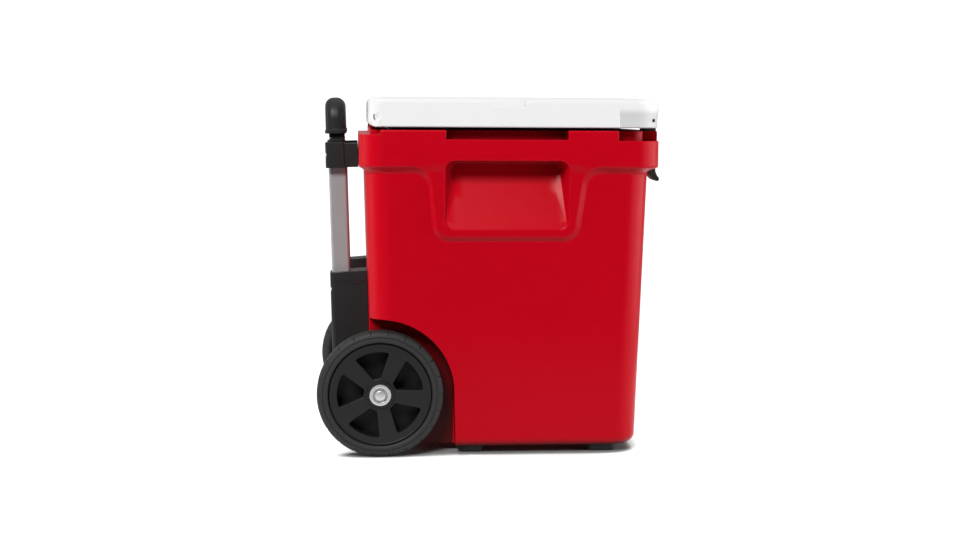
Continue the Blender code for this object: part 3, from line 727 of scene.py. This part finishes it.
def tub_outside():
    levels = tub_levels()
    rings = [tub_ring(z, inset) for z, inset in levels]
    count = len(rings[0])
    low, high = PATCH_Z
    patched = [r for r in range(len(rings) - 1) if levels[r][0] >= low and levels[r + 1][0] <= high]
    gaps = {(r, i) for r in patched for i in ((count - 4) // 2, count - 2)}
    points, faces = skin(rings, gaps=gaps)
    patch_points, patch_faces = side_patch(levels)
    for side in SIDES.values():
        first = len(points)
        points += [(x, side * y, z) for x, y, z in patch_points]
        faces += [[first + i for i in face] for face in patch_faces]
    made = make(points, faces)
    with edited(made.data) as shape:
        bmesh.ops.remove_doubles(shape, verts=shape.verts, dist=0.001 * MM)
        bmesh.ops.triangulate(shape, faces=[face for face in shape.faces if len(face.verts) > 4])
        bmesh.ops.recalc_face_normals(shape, faces=shape.faces)
    return made


def arch_outline(wall=0):
    """A wheel arch's outline in XZ, open at the rear and below, grown by a wall."""
    reach = ARCH_RADIUS + wall
    outline = [(-300, -20), (ARCH_FOOT_X + wall, -20)]
    outline += arc(*AXLE, reach, 0, 90, 20 if wall else 40)
    return outline + [(-300, AXLE_Z + reach)]


def rim_notches(side):
    """The three notches in the top of the rim on one side, with round upright edges."""
    x0, x1 = SIDE_NOTCH_X
    middle = rounded(x0, x1, NOTCH_WALL_Y, 270, 3, 4)
    front = [(FRONT_NOTCH_X, 270), (FRONT_NOTCH_X, NOTCH_WALL_Y + 3)]
    front += arc(FRONT_NOTCH_X + 3, NOTCH_WALL_Y + 3, 3, 180, 270, 4)
    front += arc(206, NOTCH_WALL_Y - 18, 18, 90, 0, 12)
    front += [(224, 189), (270, 189), (270, 270)]
    rear = [(REAR_NOTCH_X, 270), (REAR_NOTCH_X, 224), (-175, 224), (-175, 205), (-220, 205), (-220, 270)]
    notches = ((middle, SIDE_NOTCH_Z), (front, FRONT_NOTCH_Z), (rear, REAR_NOTCH_Z))
    return [prism([(x, side * y) for x, y in outline], "Z", low, 490) for outline, low in notches]


def hinge_strip():
    """The upstand behind the lid, hollowed so that the lid's round rear edge rolls in it."""
    outline = [(-175, 470), (HINGE_X, 470)]
    swing = HINGE_ROLL + 1.2
    reach = math.degrees(math.asin((HINGE_Z - 481) / swing))
    outline += arc(*HINGE, swing, 270, 180 + reach, 10)
    outline.append((-175, 481))
    return prism(outline, "Y", -224, 224)


def hinge_ear(side):
    outline = [(HINGE_X - 8.2, 469), (HINGE_X + 8.2, 469)] + arc(*HINGE, 8.2, 0, 180, 20)
    return across(outline, side, *HINGE_EAR_Y)


def latch_channel(side):
    """The slot in the rim's front that a latch hangs in, open at its foot."""
    outline = [(225, 490), (225, 428.5), (232.3, 419.5), (232.3, 408), (260, 408), (260, 490)]
    return across(outline, side, LATCH_Y[0] - 1, LATCH_Y[1] + 1)


def tub_hollow():
    """The space between the skin and the liner, which the foam fills."""
    wall = 5
    x0, x1 = SCOOP_X
    z0, z1 = SCOOP_Z
    rings = []
    for z, inset in ((FLOOR_Z + wall, 11), (FLOOR_Z + wall + 15, 0), (405, 0)):
        grow = (z - REFERENCE_Z) * DRAFT - wall - inset
        rings.append(plan(REAR_X - grow, FRONT_X + grow, HALF_WIDTH + grow, 28, z, 6))
    rings += [plan(-176, 218, 219, 28, 417, 6), plan(-184, 218, 229, 28, 430, 6)]
    rings += [plan(-184, 218, 229, 28, 452, 6), plan(-158, 211, 205, 26, 452.1, 6)]
    rings.append(plan(-158, 211, 205, 26, FLANGE_Z, 6))
    hollow = loft(rings)
    for side in SIDES.values():
        cut(hollow, across(arch_outline(wall), side, ARCH_WALL_Y - wall, 260))
        around = rounded(x0 - wall, x1 + wall, z0 - wall, z1 + wall, 14, 4)
        cut(hollow, across(around, side, SCOOP_BACK_Y - wall, 260))
    return hollow


def screw_places():
    """Each screw's name, y, span along a, and height."""
    bite = 5
    base = (BASE_A[0], BASE_A[1] + bite)
    bracket = (BRACKET_A[0], BRACKET_A[1] + bite)
    inner, outer = SCREW_Y
    kinds = (("base_screw_lower", outer, base, 80), ("base_screw_upper", outer, base, 235))
    kinds += (("bracket_screw_inner", inner, bracket, 436), ("bracket_screw_outer", outer, bracket, 436))
    places = []
    for word, side in SIDES.items():
        places += [(f"{kind}_{word}", side * y, span, w) for kind, y, span, w in kinds]
    return places


def tub_shell():
    shell = tub_outside()
    join(shell, hinge_strip(), *[hinge_ear(side) for side in SIDES.values()])
    mouth = loft([plan(*FLANGE_X, FLANGE_HALF_WIDTH, 30, z) for z in (460, 480)])
    cut(shell, tub_hollow(), mouth)
    for side in SIDES.values():
        cut(shell, across(arch_outline(), side, ARCH_WALL_Y, 260), latch_channel(side))
        cut(shell, *rim_notches(side))
        cut(shell, across(circle(*HINGE, HINGE_BORE, 32), side, 160, 210))
    cut(shell, prism(circle(*AXLE, SLEEVE_BORE), "Y", -190, 190))
    cut(shell, prism(oblong(-220, -174.8, REAR_NOTCH_Z, 490), "Y", -250, 250))
    bevel(shell, 1.0, 3, 40)
    finish("tub_skin", shell, RED, "tub", "body_shell")


def well_plan(z, around, radius):
    """The food space's plan at a height, grown by around. It widens evenly from its floor to its mouth."""
    share = (z - WELL_FLOOR_Z) / (RIM_TOP_Z - WELL_FLOOR_Z)
    x0, x1 = (between(low, high, share) for low, high in zip(WELL_FLOOR_X, MOUTH_X))
    half = between(WELL_FLOOR_HALF_WIDTH, MOUTH_HALF_WIDTH, share)
    return plan(x0 - around, x1 + around, half + around, radius, z)


def liner():
    """The food space's moulding, with a flange in the tub's mouth and a cove round its floor."""
    gap = 0.3
    x0, x1 = FLANGE_X
    low = WELL_FLOOR_Z - LINER_WALL
    outside = [well_plan(low, LINER_WALL - 9, 20), well_plan(low + 12, LINER_WALL, 29)]
    outside.append(well_plan(FLANGE_Z + gap, LINER_WALL, 29))
    half = FLANGE_HALF_WIDTH - gap
    for z, inset in ((FLANGE_Z + gap, 0), (RIM_TOP_Z - 1, 0), (RIM_TOP_Z - 0.3, 0.3), (RIM_TOP_Z, 1)):
        outside.append(plan(x0 + gap + inset, x1 - gap - inset, half - inset, 30 - inset, z))
    mouth, cove = 3, 14
    edge = arc(mouth, RIM_TOP_Z - mouth, mouth, 90, 180, 5)
    inside = [well_plan(z, grow, 29 + grow) for grow, z in edge]
    foot = arc(cove, WELL_FLOOR_Z + cove, cove, 180, 270, 6)
    inside += [well_plan(z, -inset, 29 - inset * 0.6) for inset, z in foot]
    made = loft(outside + inside)
    finish("liner_skin", made, LINER, "tub", "inner_liner")


def feet():
    """Four rubber pads under the floor, with a chamfer at their foot."""
    for end in ("rear", "front"):
        for word in SIDES:
            (x0, y0, _), (x1, y1, top) = box_mm(f"foot_{end}_{word}")
            rings = []
            for z, inset in ((0, 4), (0.6, 3), (4, 0.3), (5, 0), (top, 0)):
                outline = rounded(x0 + inset, x1 - inset, y0 + inset, y1 - inset, 9 - inset)
                rings.append(level(outline, z))
            finish(f"foot_pad_{end}_{word}", loft(rings), RUBBER, "tub", f"foot_{end}_{word}", sharp=30)


# The wheels


def window_outline(middle, grow):
    """A window between two spokes, with round corners, grown outwards by a distance."""
    inner, outer = WINDOW_RADII
    centre = math.radians(middle)
    corner = WINDOW_CORNER + grow

    def spot(radius, angle):
        return AXLE_X + radius * math.cos(angle), AXLE_Z + radius * math.sin(angle)

    def edge(way):
        """One of the two straight edges and its corners, from the outer corner inwards."""
        out = centre + way * math.radians(WINDOW_SPREAD[1])
        back = centre + way * math.radians(WINDOW_SPREAD[0])
        far = spot(outer - WINDOW_CORNER, out)
        near = spot(inner + WINDOW_CORNER, back)
        start = math.degrees(out)
        turn = math.degrees(math.atan2(far[1] - near[1], far[0] - near[0])) + way * 90
        turn = start + (turn - start + 180) % 360 - 180
        stop = math.degrees(back) + 180
        stop = turn + (stop - turn + 180) % 360 - 180
        return arc(*far, corner, start, turn, 5) + arc(*near, corner, turn, stop, 5)

    start, stop = (math.degrees(centre + way * math.radians(WINDOW_SPREAD[1])) for way in (-1, 1))
    return edge(-1)[::-1] + arc(*AXLE, outer + grow, start, stop, 14)[1:-1] + edge(1)


def wheel_rim(word, side):
    edge = RIM_RADIUS
    profile = [(10.6, 187.8), (20, 187.8), (22, 192), (edge - 6, 192), (edge - 2, 196), (edge, 200)]
    profile += [(edge - 0.2, 219), (edge - 0.5, 225.8), (edge - 1, 227.3), (edge - 1.8, 228)]
    profile += [(edge - 2.6, 228), (edge - 3.3, 227.4), (edge - 3.8, 227.2), (22, 227.2), (21, 227.5)]
    profile += [(20.4, 229.2), (19.4, 230), (10.6, 230)]
    rim = turned(profile, side, AXLE, 160)
    for i in range(SPOKES):
        rings = []
        for y, grow in ((WINDOW_FLOOR_Y, 0), (226.4, 0), (226.9, 0.2), (227.25, 0.75), (232, 0.9)):
            outline = window_outline(WINDOW_TURN + i * 360 / SPOKES, grow)
            rings.append([(x, side * y, z) for x, z in outline])
        cut(rim, loft(rings))
    finish(f"wheel_{word}_rim", rim, WHEEL, f"wheel_{word}", f"wheel_rim_{word}", sharp=35)


def tyre_profile():
    """Pairs of radius and |y|, from the inner bead over the tread to the outer bead."""
    inner, outer = TYRE_LOW[1], TYRE_HIGH[1]
    bead = RIM_RADIUS + 0.05
    top = TYRE_RADIUS
    rise = ((0, 6), (1.2, 3), (4, 0.8), (7, 0))
    points = [(bead + r, inner + y) for r, y in rise]
    tread = ((-7, 0.5), (-4.4, 1.4), (-2.2, 2.8), (-0.8, 4.8), (-0.15, 7.2), (0, 10))
    tread += ((0, 18.6), (-1.6, 19.4))
    points += [(top + r, inner + y) for r, y in tread]
    tread = ((-1.6, 20.6), (0, 19.8), (0, 10), (-0.15, 7.5), (-0.7, 5.4), (-1.8, 3.8), (-3.6, 2.5))
    tread += ((-6, 1.7), (-8, 1.6), (-8.6, 2.4), (-9.2, 2.4), (-9.8, 1.4))
    points += [(top + r, outer - y) for r, y in tread]
    fall = ((5, 0.8), (3, 1.2), (1.3, 2.2), (0.5, 3.4), (0, 7))
    return points + [(bead + r, outer - y) for r, y in fall]


def tyre(word, side):
    """A tyre whose shoulder grooves lie at half a block's turn from one side to the other."""
    middle = (TYRE_LOW[1] + TYRE_HIGH[1]) / 2
    # Each groove's walls and floor, as shares of a tread block's turn.
    groove, wall, slack = 0.07, 0.014, 0.001
    steps = (0, wall, groove - wall, groove, 0.15, 0.25, 0.35, 0.44)
    rings = []
    for block in range(TREAD_BLOCKS):
        for share in sorted(start + step for start in (0, 0.5) for step in steps):
            turn = math.tau * (block + share) / TREAD_BLOCKS
            ring = []
            for r, y in tyre_profile():
                along = share if y > middle else share - 0.5
                sunk = wall - slack <= along <= groove - wall + slack and abs(y - middle) > 6
                r -= 1.6 * ramp(r, TYRE_RADIUS - 11, TYRE_RADIUS - 5, 0.5) * sunk
                ring.append((AXLE_X + r * math.cos(turn), side * y, AXLE_Z + r * math.sin(turn)))
            rings.append(ring)
    made = loft(rings, closed=True)
    finish(f"tyre_skin_{word}", made, RUBBER, f"wheel_{word}", f"tyre_{word}", sharp=32)


def axle_ends():
    """The washers, spacers and caps on the axle, with turned edges."""
    outer = CAP_HIGH[1]
    washer = [(6.3, 230.4), (15.1, 230.4), (15.5, 230.8), (15.5, 231.6), (15.0, 232.1), (13.2, 232.3)]
    washer += [(11.2, 232.2), (10.6, 231.9), (10.3, 231.3), (10.2, 230.7), (6.3, 230.7)]
    spacer = [(6.3, 182.4), (11.6, 182.4), (12, 182.8), (12, 187), (11.6, 187.4), (6.3, 187.4)]
    cap = [(0.01, 232.5), (7.3, 232.5), (7.6, 232.8), (7.6, 234.6), (7.1, 235.3), (6, 235.8)]
    cap += [(4, outer - 0.05), (0.01, outer)]
    for word, side in SIDES.items():
        for kind, profile in (("washer", washer), ("spacer", spacer), ("cap", cap)):
            made = turned(profile, side, AXLE)
            finish(f"{kind}_{word}", made, STEEL, "tub", f"axle_{kind}_{word}", sharp=30)


# The lid


def droop(x, z):
    """How far the lid's top edge dips towards the front."""
    reach = max(0, (x - 172) / (LID_HIGH[0] - 172))
    height = (z - LID_LOW[2]) / (LID_HIGH[2] - LID_LOW[2])
    return 3.2 * reach * reach * max(0, height) ** 2


def lid_recess(z):
    """How far the lid's front corners sink in towards its lower edge."""
    return 1.8 * (1 - ramp(z, 488, 507, 4))


def lid_ring(inset, z, extra=0):
    """The lid's plan at a height. Its front is drawn in by extra, and its front corners sink in."""
    x0, x1 = LID_LOW[0], LID_HIGH[0]
    half = LID_HIGH[1] - inset
    deep = lid_recess(z)
    high = 38 - inset * 0.7
    front = rounded(x0, x1 - inset - extra - deep, -half + deep, half - deep, high, CORNER_STEPS)
    rear = rounded(x0 + inset, x1, -half, half, 20 - inset * 0.7, CORNER_STEPS)
    quarter = CORNER_STEPS + 1
    step = FRONT_NOTCH_X + 1
    points = front[: 2 * quarter] + [(step + 0.5, half - deep), (step - 0.5, half)]
    points += rear[2 * quarter :] + [(step - 0.5, -half), (step + 0.5, -half + deep)]
    return [(x, y, z - droop(x, z)) for x, y in points]


def lid_skin():
    z0, z1 = LID_LOW[2], LID_HIGH[2]
    foot, top = 2.5, 9
    rings = [lid_ring(inset, z) for inset, z in arc(foot, z0 + foot, foot, 270, 180, 5)]
    rings += [lid_ring(0.2, z, 0.3) for z in (488, 492, 497, 502, 507)]
    rings += [lid_ring(inset * 0.8 + 0.4, z, 0.6) for inset, z in arc(top, z1 - top, top, 180, 90, 9)]
    rings += [lid_ring(16, z1), lid_ring(17.5, z1 - 0.9)]
    shell = loft(rings)
    cut(shell, loft([plan(-152, 214, 222, 20, z, 8) for z in (470, 518)]))
    roll = [(-210, 470), (HINGE_X, 470)] + arc(*HINGE, HINGE_ROLL, 270, 180, 24) + [(-210, HINGE_Z)]
    cut(shell, prism(roll, "Y", -250, 250))
    ear_slot = oblong(-200, HINGE_X + 9.2, 470, HINGE_Z + 9.5)
    latch_notch = oblong(224, 270, 470, 502.8)
    tie_notch = oblong(-1, 47, 508, 530)
    dimple = [(0.01, 231.9), (3, 232), (5.6, 232.7), (7.6, 234), (8.8, 235.6), (9, 240), (0.01, 240)]
    for side in SIDES.values():
        cut(shell, across(ear_slot, side, HINGE_EAR_Y[0] - 0.6, HINGE_EAR_Y[1] + 0.6))
        cut(shell, across(latch_notch, side, LATCH_Y[0] - 1, LATCH_Y[1] + 1))
        cut(shell, across(circle(*HINGE, HINGE_BORE, 32), side, 160, 231.6))
        cut(shell, across(circle(*LATCH_PIN, LATCH_BORE, 32), side, 138, 240))
        cut(shell, turned(dimple, side, HINGE, 64))
        cut(shell, across(tie_notch, side, 232.6, 245))
    bevel(shell, 0.9, 3, 40)
    finish("lid_skin", shell, LID, "lid", "lid_shell")


def lid_underside():
    """The lid's lower liner: a plug that drops into the food space."""
    gap = 0.3
    half = 222 - gap
    base = LID_LOW[2]
    foot = arc(5, 457 + 5, 5, 270, 180, 6)
    rings = [plan(-128 + inset, 176 - inset, 168 - inset, 28 - inset * 0.7, z) for inset, z in foot]
    rings.append(plan(-128, 176, 168, 28, base + 0.1))
    rings += [plan(-152 + gap, 214 - gap, half, 20, z) for z in (base + 0.11, 484)]
    made = loft(rings)
    inside = rounded(-137.7, 188.2, -180.2, 180.2, 20, CORNER_STEPS)
    outside = rounded(-145.3, 195.8, -187.8, 187.8, 26, CORNER_STEPS)
    cut(made, band(outside, inside, 468, 481))
    bevel(made, 0.5, 2, 50)
    finish("lid_underside", made, WHITE, "lid", "lid_liner")


def seal():
    """A round-edged rubber ring in the lid's groove."""
    (_, _, z0), (_, _, z1) = box_mm("lid_gasket")
    width, edge = 7, 1.5
    section = arc(edge, z0 + edge, edge, 270, 180, 4) + [(0, z1), (width, z1)]
    section += arc(width - edge, z0 + edge, edge, 360, 270, 4)
    rings = [plan(inset - 145, 195.5 - inset, 187.5 - inset, 26 - inset * 0.6, z) for inset, z in section]
    finish("lid_seal", loft(rings, closed=True), RUBBER, "lid", "lid_gasket")


def latch(word, side):
    """A rubber latch: a thick eye on its pin, a flat arm and a curled pull tab."""
    outline = arc(*LATCH_PIN, 9.5, 20, 160, 20)
    outline += [(227.3, 484), (227.3, 447), (229, 445.6), (233.6, 445.6), (233.6, 424)]
    outline += [(235.2, 415), (238.2, 408.2), (243.2, 402.8), (249.2, 400.5), (250.8, 401), (252.4, 404)]
    outline += [(251.6, 405.6), (248.6, 409.6), (246.4, 415), (246, 422), (246, 484)]
    arm = across(outline, side, *LATCH_Y)
    cut(arm, across(circle(*LATCH_PIN, LATCH_BORE, 24), side, 140, 190))
    bevel(arm, 1.1, 3, 30)
    name = f"latch_{word}"
    finish(f"latch_arm_{word}", arm, RUBBER_LATCH, name, name)



def box_section(half_a, half_y, y, w, radius):
    return [(a, y + dy, w) for a, dy in rounded(-half_a, half_a, -half_y, half_y, radius)]


def tube(kind, word, body):
    """A drawn aluminium tube with round corners and eased ends."""
    y = SIDES[word] * TUBE_Y
    half_a, half_y = TUBE_HALF[kind]
    low, high = TUBE_SPAN[kind]
    ease = 0.4
    rings = []
    for inset, w in ((ease, low), (0, low + ease), (0, high - ease), (ease, high)):
        rings.append(box_section(half_a - inset, half_y - inset, y, w, 4))
    rings += [box_section(half_a - TUBE_WALL, half_y - TUBE_WALL, y, w, 2.5) for w in (high, low)]
    made = loft(rings, closed=True)
    name = f"{kind}_tube_skin_{word}"
    finish(name, made, ALUMINIUM, body, f"{kind}_tube_{word}", leaning=True, sharp=40)


def bore_sections(kind, y, low, high, fit=0.3):
    """Rings round a tube with some clearance, at two places along it."""
    half_a, half_y = TUBE_HALF[kind]
    return [box_section(half_a + fit, half_y + fit, y, w, 4.2) for w in (low, high)]


def upright(points, a):
    """A ring across the handle's a direction."""
    return [(a, y, w) for y, w in points]


def screw_bores(target, kind, word):
    for name, y, (start, end), w in screw_places():
        if name.startswith(kind) and name.endswith(word):
            levels = ((5, start - 5), (5, start + 2.6), (2.3, start + 5), (2.3, end + 5))
            cut(target, loft([upright(circle(y, w, radius, 32), a) for radius, a in levels]))


def handle_base(word, side):
    """A tall moulded sleeve, whose top rises towards the tub, with two fine grooves round it."""
    y0, y1 = sided(side, *BASE_Y)
    a0, a1 = BASE_A
    low, high = BASE_Z
    outline = rounded(a0, a1, y0, y1, (1.2, 6))
    top = [(a, y, high - 2.8 * (a1 - a) / (a1 - a0)) for a, y in outline]
    base = loft([level(outline, low), top])
    cut(base, loft(bore_sections("outer", side * TUBE_Y, TUBE_SPAN["outer"][0] - 0.3, 290)))
    screw_bores(base, "base", word)
    bevel(base, 0.7, 3, 35)
    around = rounded(a0 - 2, a1 + 9, y0 - 2, y1 + 2, (1, 7))
    core = rounded(a0 + 0.35, a1 + 7, y0 + 0.35, y1 - 0.35, (1, 5.7))
    for w in (243, 247):
        cut(base, band(around, core, w, w + 0.7))
    finish(f"base_sleeve_{word}", base, BLACK, "tub", f"handle_base_{word}", leaning=True)


def handle_bracket():
    """Two collars round the tubes' tops, with arms to the rim, joined by a bar along the rim."""
    a0, a1 = BRACKET_A
    z0, z1 = BRACKET_Z
    bar = prism(oblong(20, a1, -100, 100), "Z", z0 + 8, z1 - 8)
    split, inset = 11, 1.6
    for side in SIDES.values():
        y0, y1 = sided(side, *BASE_Y)
        join(bar, prism(rounded(a0, split, y0, y1, (2, 6)), "Z", z0, z1))
        arm = rounded(split - 8, a1, y0 + inset, y1 - inset, (1, 1), 4)
        join(bar, prism(arm, "Z", z0 + 0.6, z1 - 2))
    for word, side in SIDES.items():
        cut(bar, loft(bore_sections("outer", side * TUBE_Y, z0 - 10, z1 - 2)))
        cut(bar, loft(bore_sections("mid", side * TUBE_Y, z1 - 12, z1 + 10)))
        screw_bores(bar, "bracket", word)
    bevel(bar, 0.8, 3, 35)
    finish("bracket_skin", bar, BLACK, "tub", "handle_bracket", leaning=True)


def mid_guide(word, side):
    """The ring on a middle tube's top that the inner tube slides through."""
    y = side * TUBE_Y
    levels = ((10.7, 8.4, 455.4), (11.3, 9, 456), (11.3, 9, 460.6), (10.7, 8.4, 461.3))
    rings = [box_section(half_a, half_y, y, w, 4) for half_a, half_y, w in levels]
    made = loft(rings + bore_sections("inner", y, 461.3, 455.4), closed=True)
    name = f"mid_guide_{word}"
    finish(f"guide_ring_{word}", made, BLACK, "handle_mid", name, leaning=True, sharp=40)


def grip_path():
    """The grip's centre line as (y, w), up one leg, over the bar and down the other."""
    y, radius, top = TUBE_Y, 16.5, 505.7
    half = [(-y, 468), (-y, 476)] + arc(-y + radius, top - radius, radius, 180, 90, 12) + [(-40, top)]
    return half + [(0, top)] + [(-py, w) for py, w in reversed(half)]


def grip():
    """The inverted U that the hand pulls: a round-cornered bar on two legs with ribbed necks."""
    path = grip_path()
    rings = []
    for i, (y, w) in enumerate(path):
        before, after = path[max(i - 1, 0)], path[min(i + 1, len(path) - 1)]
        dy, dw = after[0] - before[0], after[1] - before[1]
        length = math.hypot(dy, dw)
        ny, nw = -dw / length, dy / length
        section = rounded(-16, 14, -16.5, 15.9, 12.5)
        rings.append([(a, y + ny * depth, w + nw * depth) for a, depth in section])
    body = loft(rings)
    places = [side * TUBE_Y for side in SIDES.values()]
    for y in places:
        levels = ((15.6, 468), (16.2, 469), (16.2, 472.4), (15, 474))
        flange = [box_section(half, 17.2, y, w, 10) for half, w in levels]
        join(body, loft([[(a - 1, py, w) for a, py, w in ring] for ring in flange]))
    for y in places:
        cut(body, loft(bore_sections("inner", y, 450, TUBE_SPAN["inner"][1] + 0.3)))
        cut(body, prism(circle(0, y, 3, 24), "Z", 490, 502))
    bar_channel = prism(oblong(-5, 5, -106, 106), "Z", 497, 505.5)
    button_pocket = prism(rounded(-7.8, 7.8, -18.8, 18.8, 5), "Z", 500, 540)
    spring_well = prism(circle(0, 0, 4, 24), "Z", 492.5, 501)
    for space in (bar_channel, button_pocket, spring_well):
        cut(body, space)
    bevel(body, 0.6, 3, 50)
    finish("grip_skin", body, BLACK, "handle_top", "grip", leaning=True, sharp=45)


def grip_necks():
    """Ribbed rubber collars between the grip and the guides."""
    for word, side in SIDES.items():
        y = side * TUBE_Y
        rings = []
        for i in range(4):
            w = 462 + i * 1.5
            for grow, step in ((-0.5, 0), (0, 0.3), (0, 1.0), (-0.5, 1.3)):
                rings.append(box_section(11.5 + grow, 9.2 + grow, y, w + step, 4))
        made = loft(rings + bore_sections("inner", y, 467.8, 462), closed=True)
        name = f"grip_neck_{word}"
        finish(name, made, BLACK, "handle_top", leaning=True, sharp=30)


def button():
    """The release key in the top of the grip."""
    rings = []
    for inset, w in ((0, 505.1), (0, 518.6), (0.3, 519.8), (1, 520.7), (2.2, 521.2)):
        outline = rounded(-7.5 + inset, 7.5 - inset, -18.5 + inset, 18.5 - inset, 4.7 - inset * 0.5)
        rings.append(level(outline, w))
    finish("release_key", loft(rings), BLACK, "button", "grip_button", leaning=True, sharp=40)


def screws():
    """Countersunk screws with a six-sided socket."""
    for name, y, (start, end), w in screw_places():
        head = ((4, 0.4), (4.4, 0.6), (4.5, 1), (4.5, 2.4), (2, 4.6), (2, end - start))
        made = loft([upright(circle(y, w, radius, 36), start + depth) for radius, depth in head])
        cut(made, prism(circle(y, w, 2.1, 6), "X", start - 1, start + 2.2))
        finish(f"{name}_skin", made, STEEL, "tub", name, leaning=True, sharp=30)


def spring():
    """The coil under the release bar."""
    low, high = SPRING_SPAN
    turns, steps, radius, wire = 4, 24, 2.7, 0.45
    rings = []
    for i in range(turns * steps + 1):
        angle = math.tau * i / steps
        share = i / (turns * steps)
        rise = ramp(share, 0.1, 0.9, 0.05)
        w = low + wire + (high - low - 2 * wire) * rise
        section = circle(radius, 0, wire, 10)
        rings.append([(r * math.cos(angle), r * math.sin(angle), w + up) for r, up in section])
    made = loft(rings)
    finish("spring_coil", made, STEEL, "handle_top", "button_spring", leaning=True)
    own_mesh(made)


def hidden_parts():
    """Materials for the frame's own pieces that stay as they are."""
    looks = {"foam": FOAM, "steel": STEEL}
    for entry in frame["record"]["subparts"]:
        look = looks.get(entry["material_slot"])
        if look:
            mesh = frame["nodes"][entry["node"]].data
            mesh.materials.clear()
            mesh.materials.append(look)


# The camera, the floor and the light


def camera():
    data = bpy.data.cameras.new("camera")
    data.lens = 60.33
    data.sensor_width = 36
    data.clip_end = 50
    made = bpy.data.objects.new("camera", data)
    yaw, pitch, roll = (math.radians(a) for a in (4.72, 5.72, 0.35))
    ahead = Vector((math.sin(yaw) * math.cos(pitch), math.cos(yaw) * math.cos(pitch), -math.sin(pitch)))
    flat = Vector((math.cos(yaw), -math.sin(yaw), 0))
    steep = flat.cross(ahead)
    right = flat * math.cos(roll) + steep * math.sin(roll)
    up = steep * math.cos(roll) - flat * math.sin(roll)
    turn = Matrix((right, up, -ahead)).transposed().to_4x4()
    made.matrix_world = Matrix.Translation(Vector((-0.1975, -2.578, 0.5027))) @ turn
    bpy.context.scene.collection.objects.link(made)
    bpy.context.scene.camera = made


def area_light(name, place, aim, size, power, glossy):
    data = bpy.data.lights.new(name, "AREA")
    data.shape = "RECTANGLE"
    data.size, data.size_y = size
    data.energy = power
    made = bpy.data.objects.new(name, data)
    made.location = place
    made.rotation_euler = (Vector(aim) - Vector(place)).to_track_quat("-Z", "Y").to_euler()
    bpy.context.scene.collection.objects.link(made)
    made.visible_camera = False
    made.visible_glossy = glossy


def floor():
    """A small white floor, whose glow gives way to shade where the object stands close over it."""
    material, tree, shader = shader_of("studio_floor")
    openness = node(tree, "AmbientOcclusion", "AO", {"Distance": 70 * MM}, samples=16)
    look = {"Base Color": (0.25, 0.25, 0.25, 1), "Roughness": 0.9, "Specular IOR Level": 0.1}
    look["Emission Color"] = (1, 1, 1, 1)
    look["Emission Strength"] = spread(tree, openness, 0, 1.1, 0.42, 0.66)
    feed(shader, look)
    made = make(level(oblong(-800, 800, -800, 800), 0), [(0, 1, 2, 3)])
    made.name = "floor"
    made.data.materials.append(material)
    made.visible_diffuse = False


def world():
    """A white backdrop, which lights the object less than it shows."""
    made = bpy.data.worlds.new("studio")
    made.use_nodes = True
    tree = made.node_tree
    way = node(tree, "TexCoord", "Generated", {})
    below = spread(tree, axis(tree, way, "Z"), BOUNCE, 0, start=-0.7, stop=-0.2)
    around = spread(tree, axis(tree, way, "Y"), *AMBIENT, start=-1)
    total = node(tree, "Math", "Value", {0: below, 1: around})
    white = (1, 1, 1, 1)
    lit = node(tree, "Background", "Background", {"Color": white, "Strength": total})
    seen = node(tree, "Background", "Background", {"Color": white, "Strength": BACKDROP})
    from_camera = node(tree, "LightPath", "Is Camera Ray", {})
    mix = node(tree, "MixShader", "Shader", {"Fac": from_camera, 1: lit, 2: seen})
    feed(tree.nodes["World Output"], {"Surface": mix})
    bpy.context.scene.world = made


camera()
world()
floor()
# Each light's name, place, aim, size, power and whether surfaces mirror it.
LIGHTS = (
    ("key", (-1.9, -4.9, 4.2), (0, 0, 0.25), (2.0, 2.0), 425, True),
    ("left", (-3.0, -0.3, 0.4), (0, 0, 0.25), (0.9, 1.4), 44, False),
    ("left_edge", (-2.3, 0.35, 0.7), (0, 0, 0.25), (0.5, 1.8), 6, True),
    ("right", (3.0, -0.4, 0.4), (0, 0, 0.25), (0.9, 1.4), 36, False),
    ("right_panel", (2.3, -1.0, 0.4), (0, 0, 0.3), (2.2, 1.2), 18, True),
    ("right_edge", (2.3, 0.3, 0.7), (0, 0, 0.25), (0.5, 1.8), 13, True),
    ("top", (0, 0.2, 2.6), (0, 0, 0.2), (3.0, 2.4), 14, True),
    ("rear", (0.3, 2.4, 1.4), (0, 0, 0.25), (2.2, 1.4), 40, False),
)
for light in LIGHTS:
    area_light(*light)
bpy.context.scene.view_settings.view_transform = "Standard"

tub_shell()
liner()
feet()
for wheel_word, wheel_side in SIDES.items():
    wheel_rim(wheel_word, wheel_side)
    tyre(wheel_word, wheel_side)
axle_ends()
lid_skin()
lid_underside()
seal()
for latch_word, latch_side in SIDES.items():
    latch(latch_word, latch_side)
for tube_word, tube_side in SIDES.items():
    for tube_kind, tube_body in (("outer", "tub"), ("mid", "handle_mid"), ("inner", "handle_top")):
        tube(tube_kind, tube_word, tube_body)
    handle_base(tube_word, tube_side)
    mid_guide(tube_word, tube_side)
handle_bracket()
grip()
grip_necks()
button()
spring()
screws()
hidden_parts()
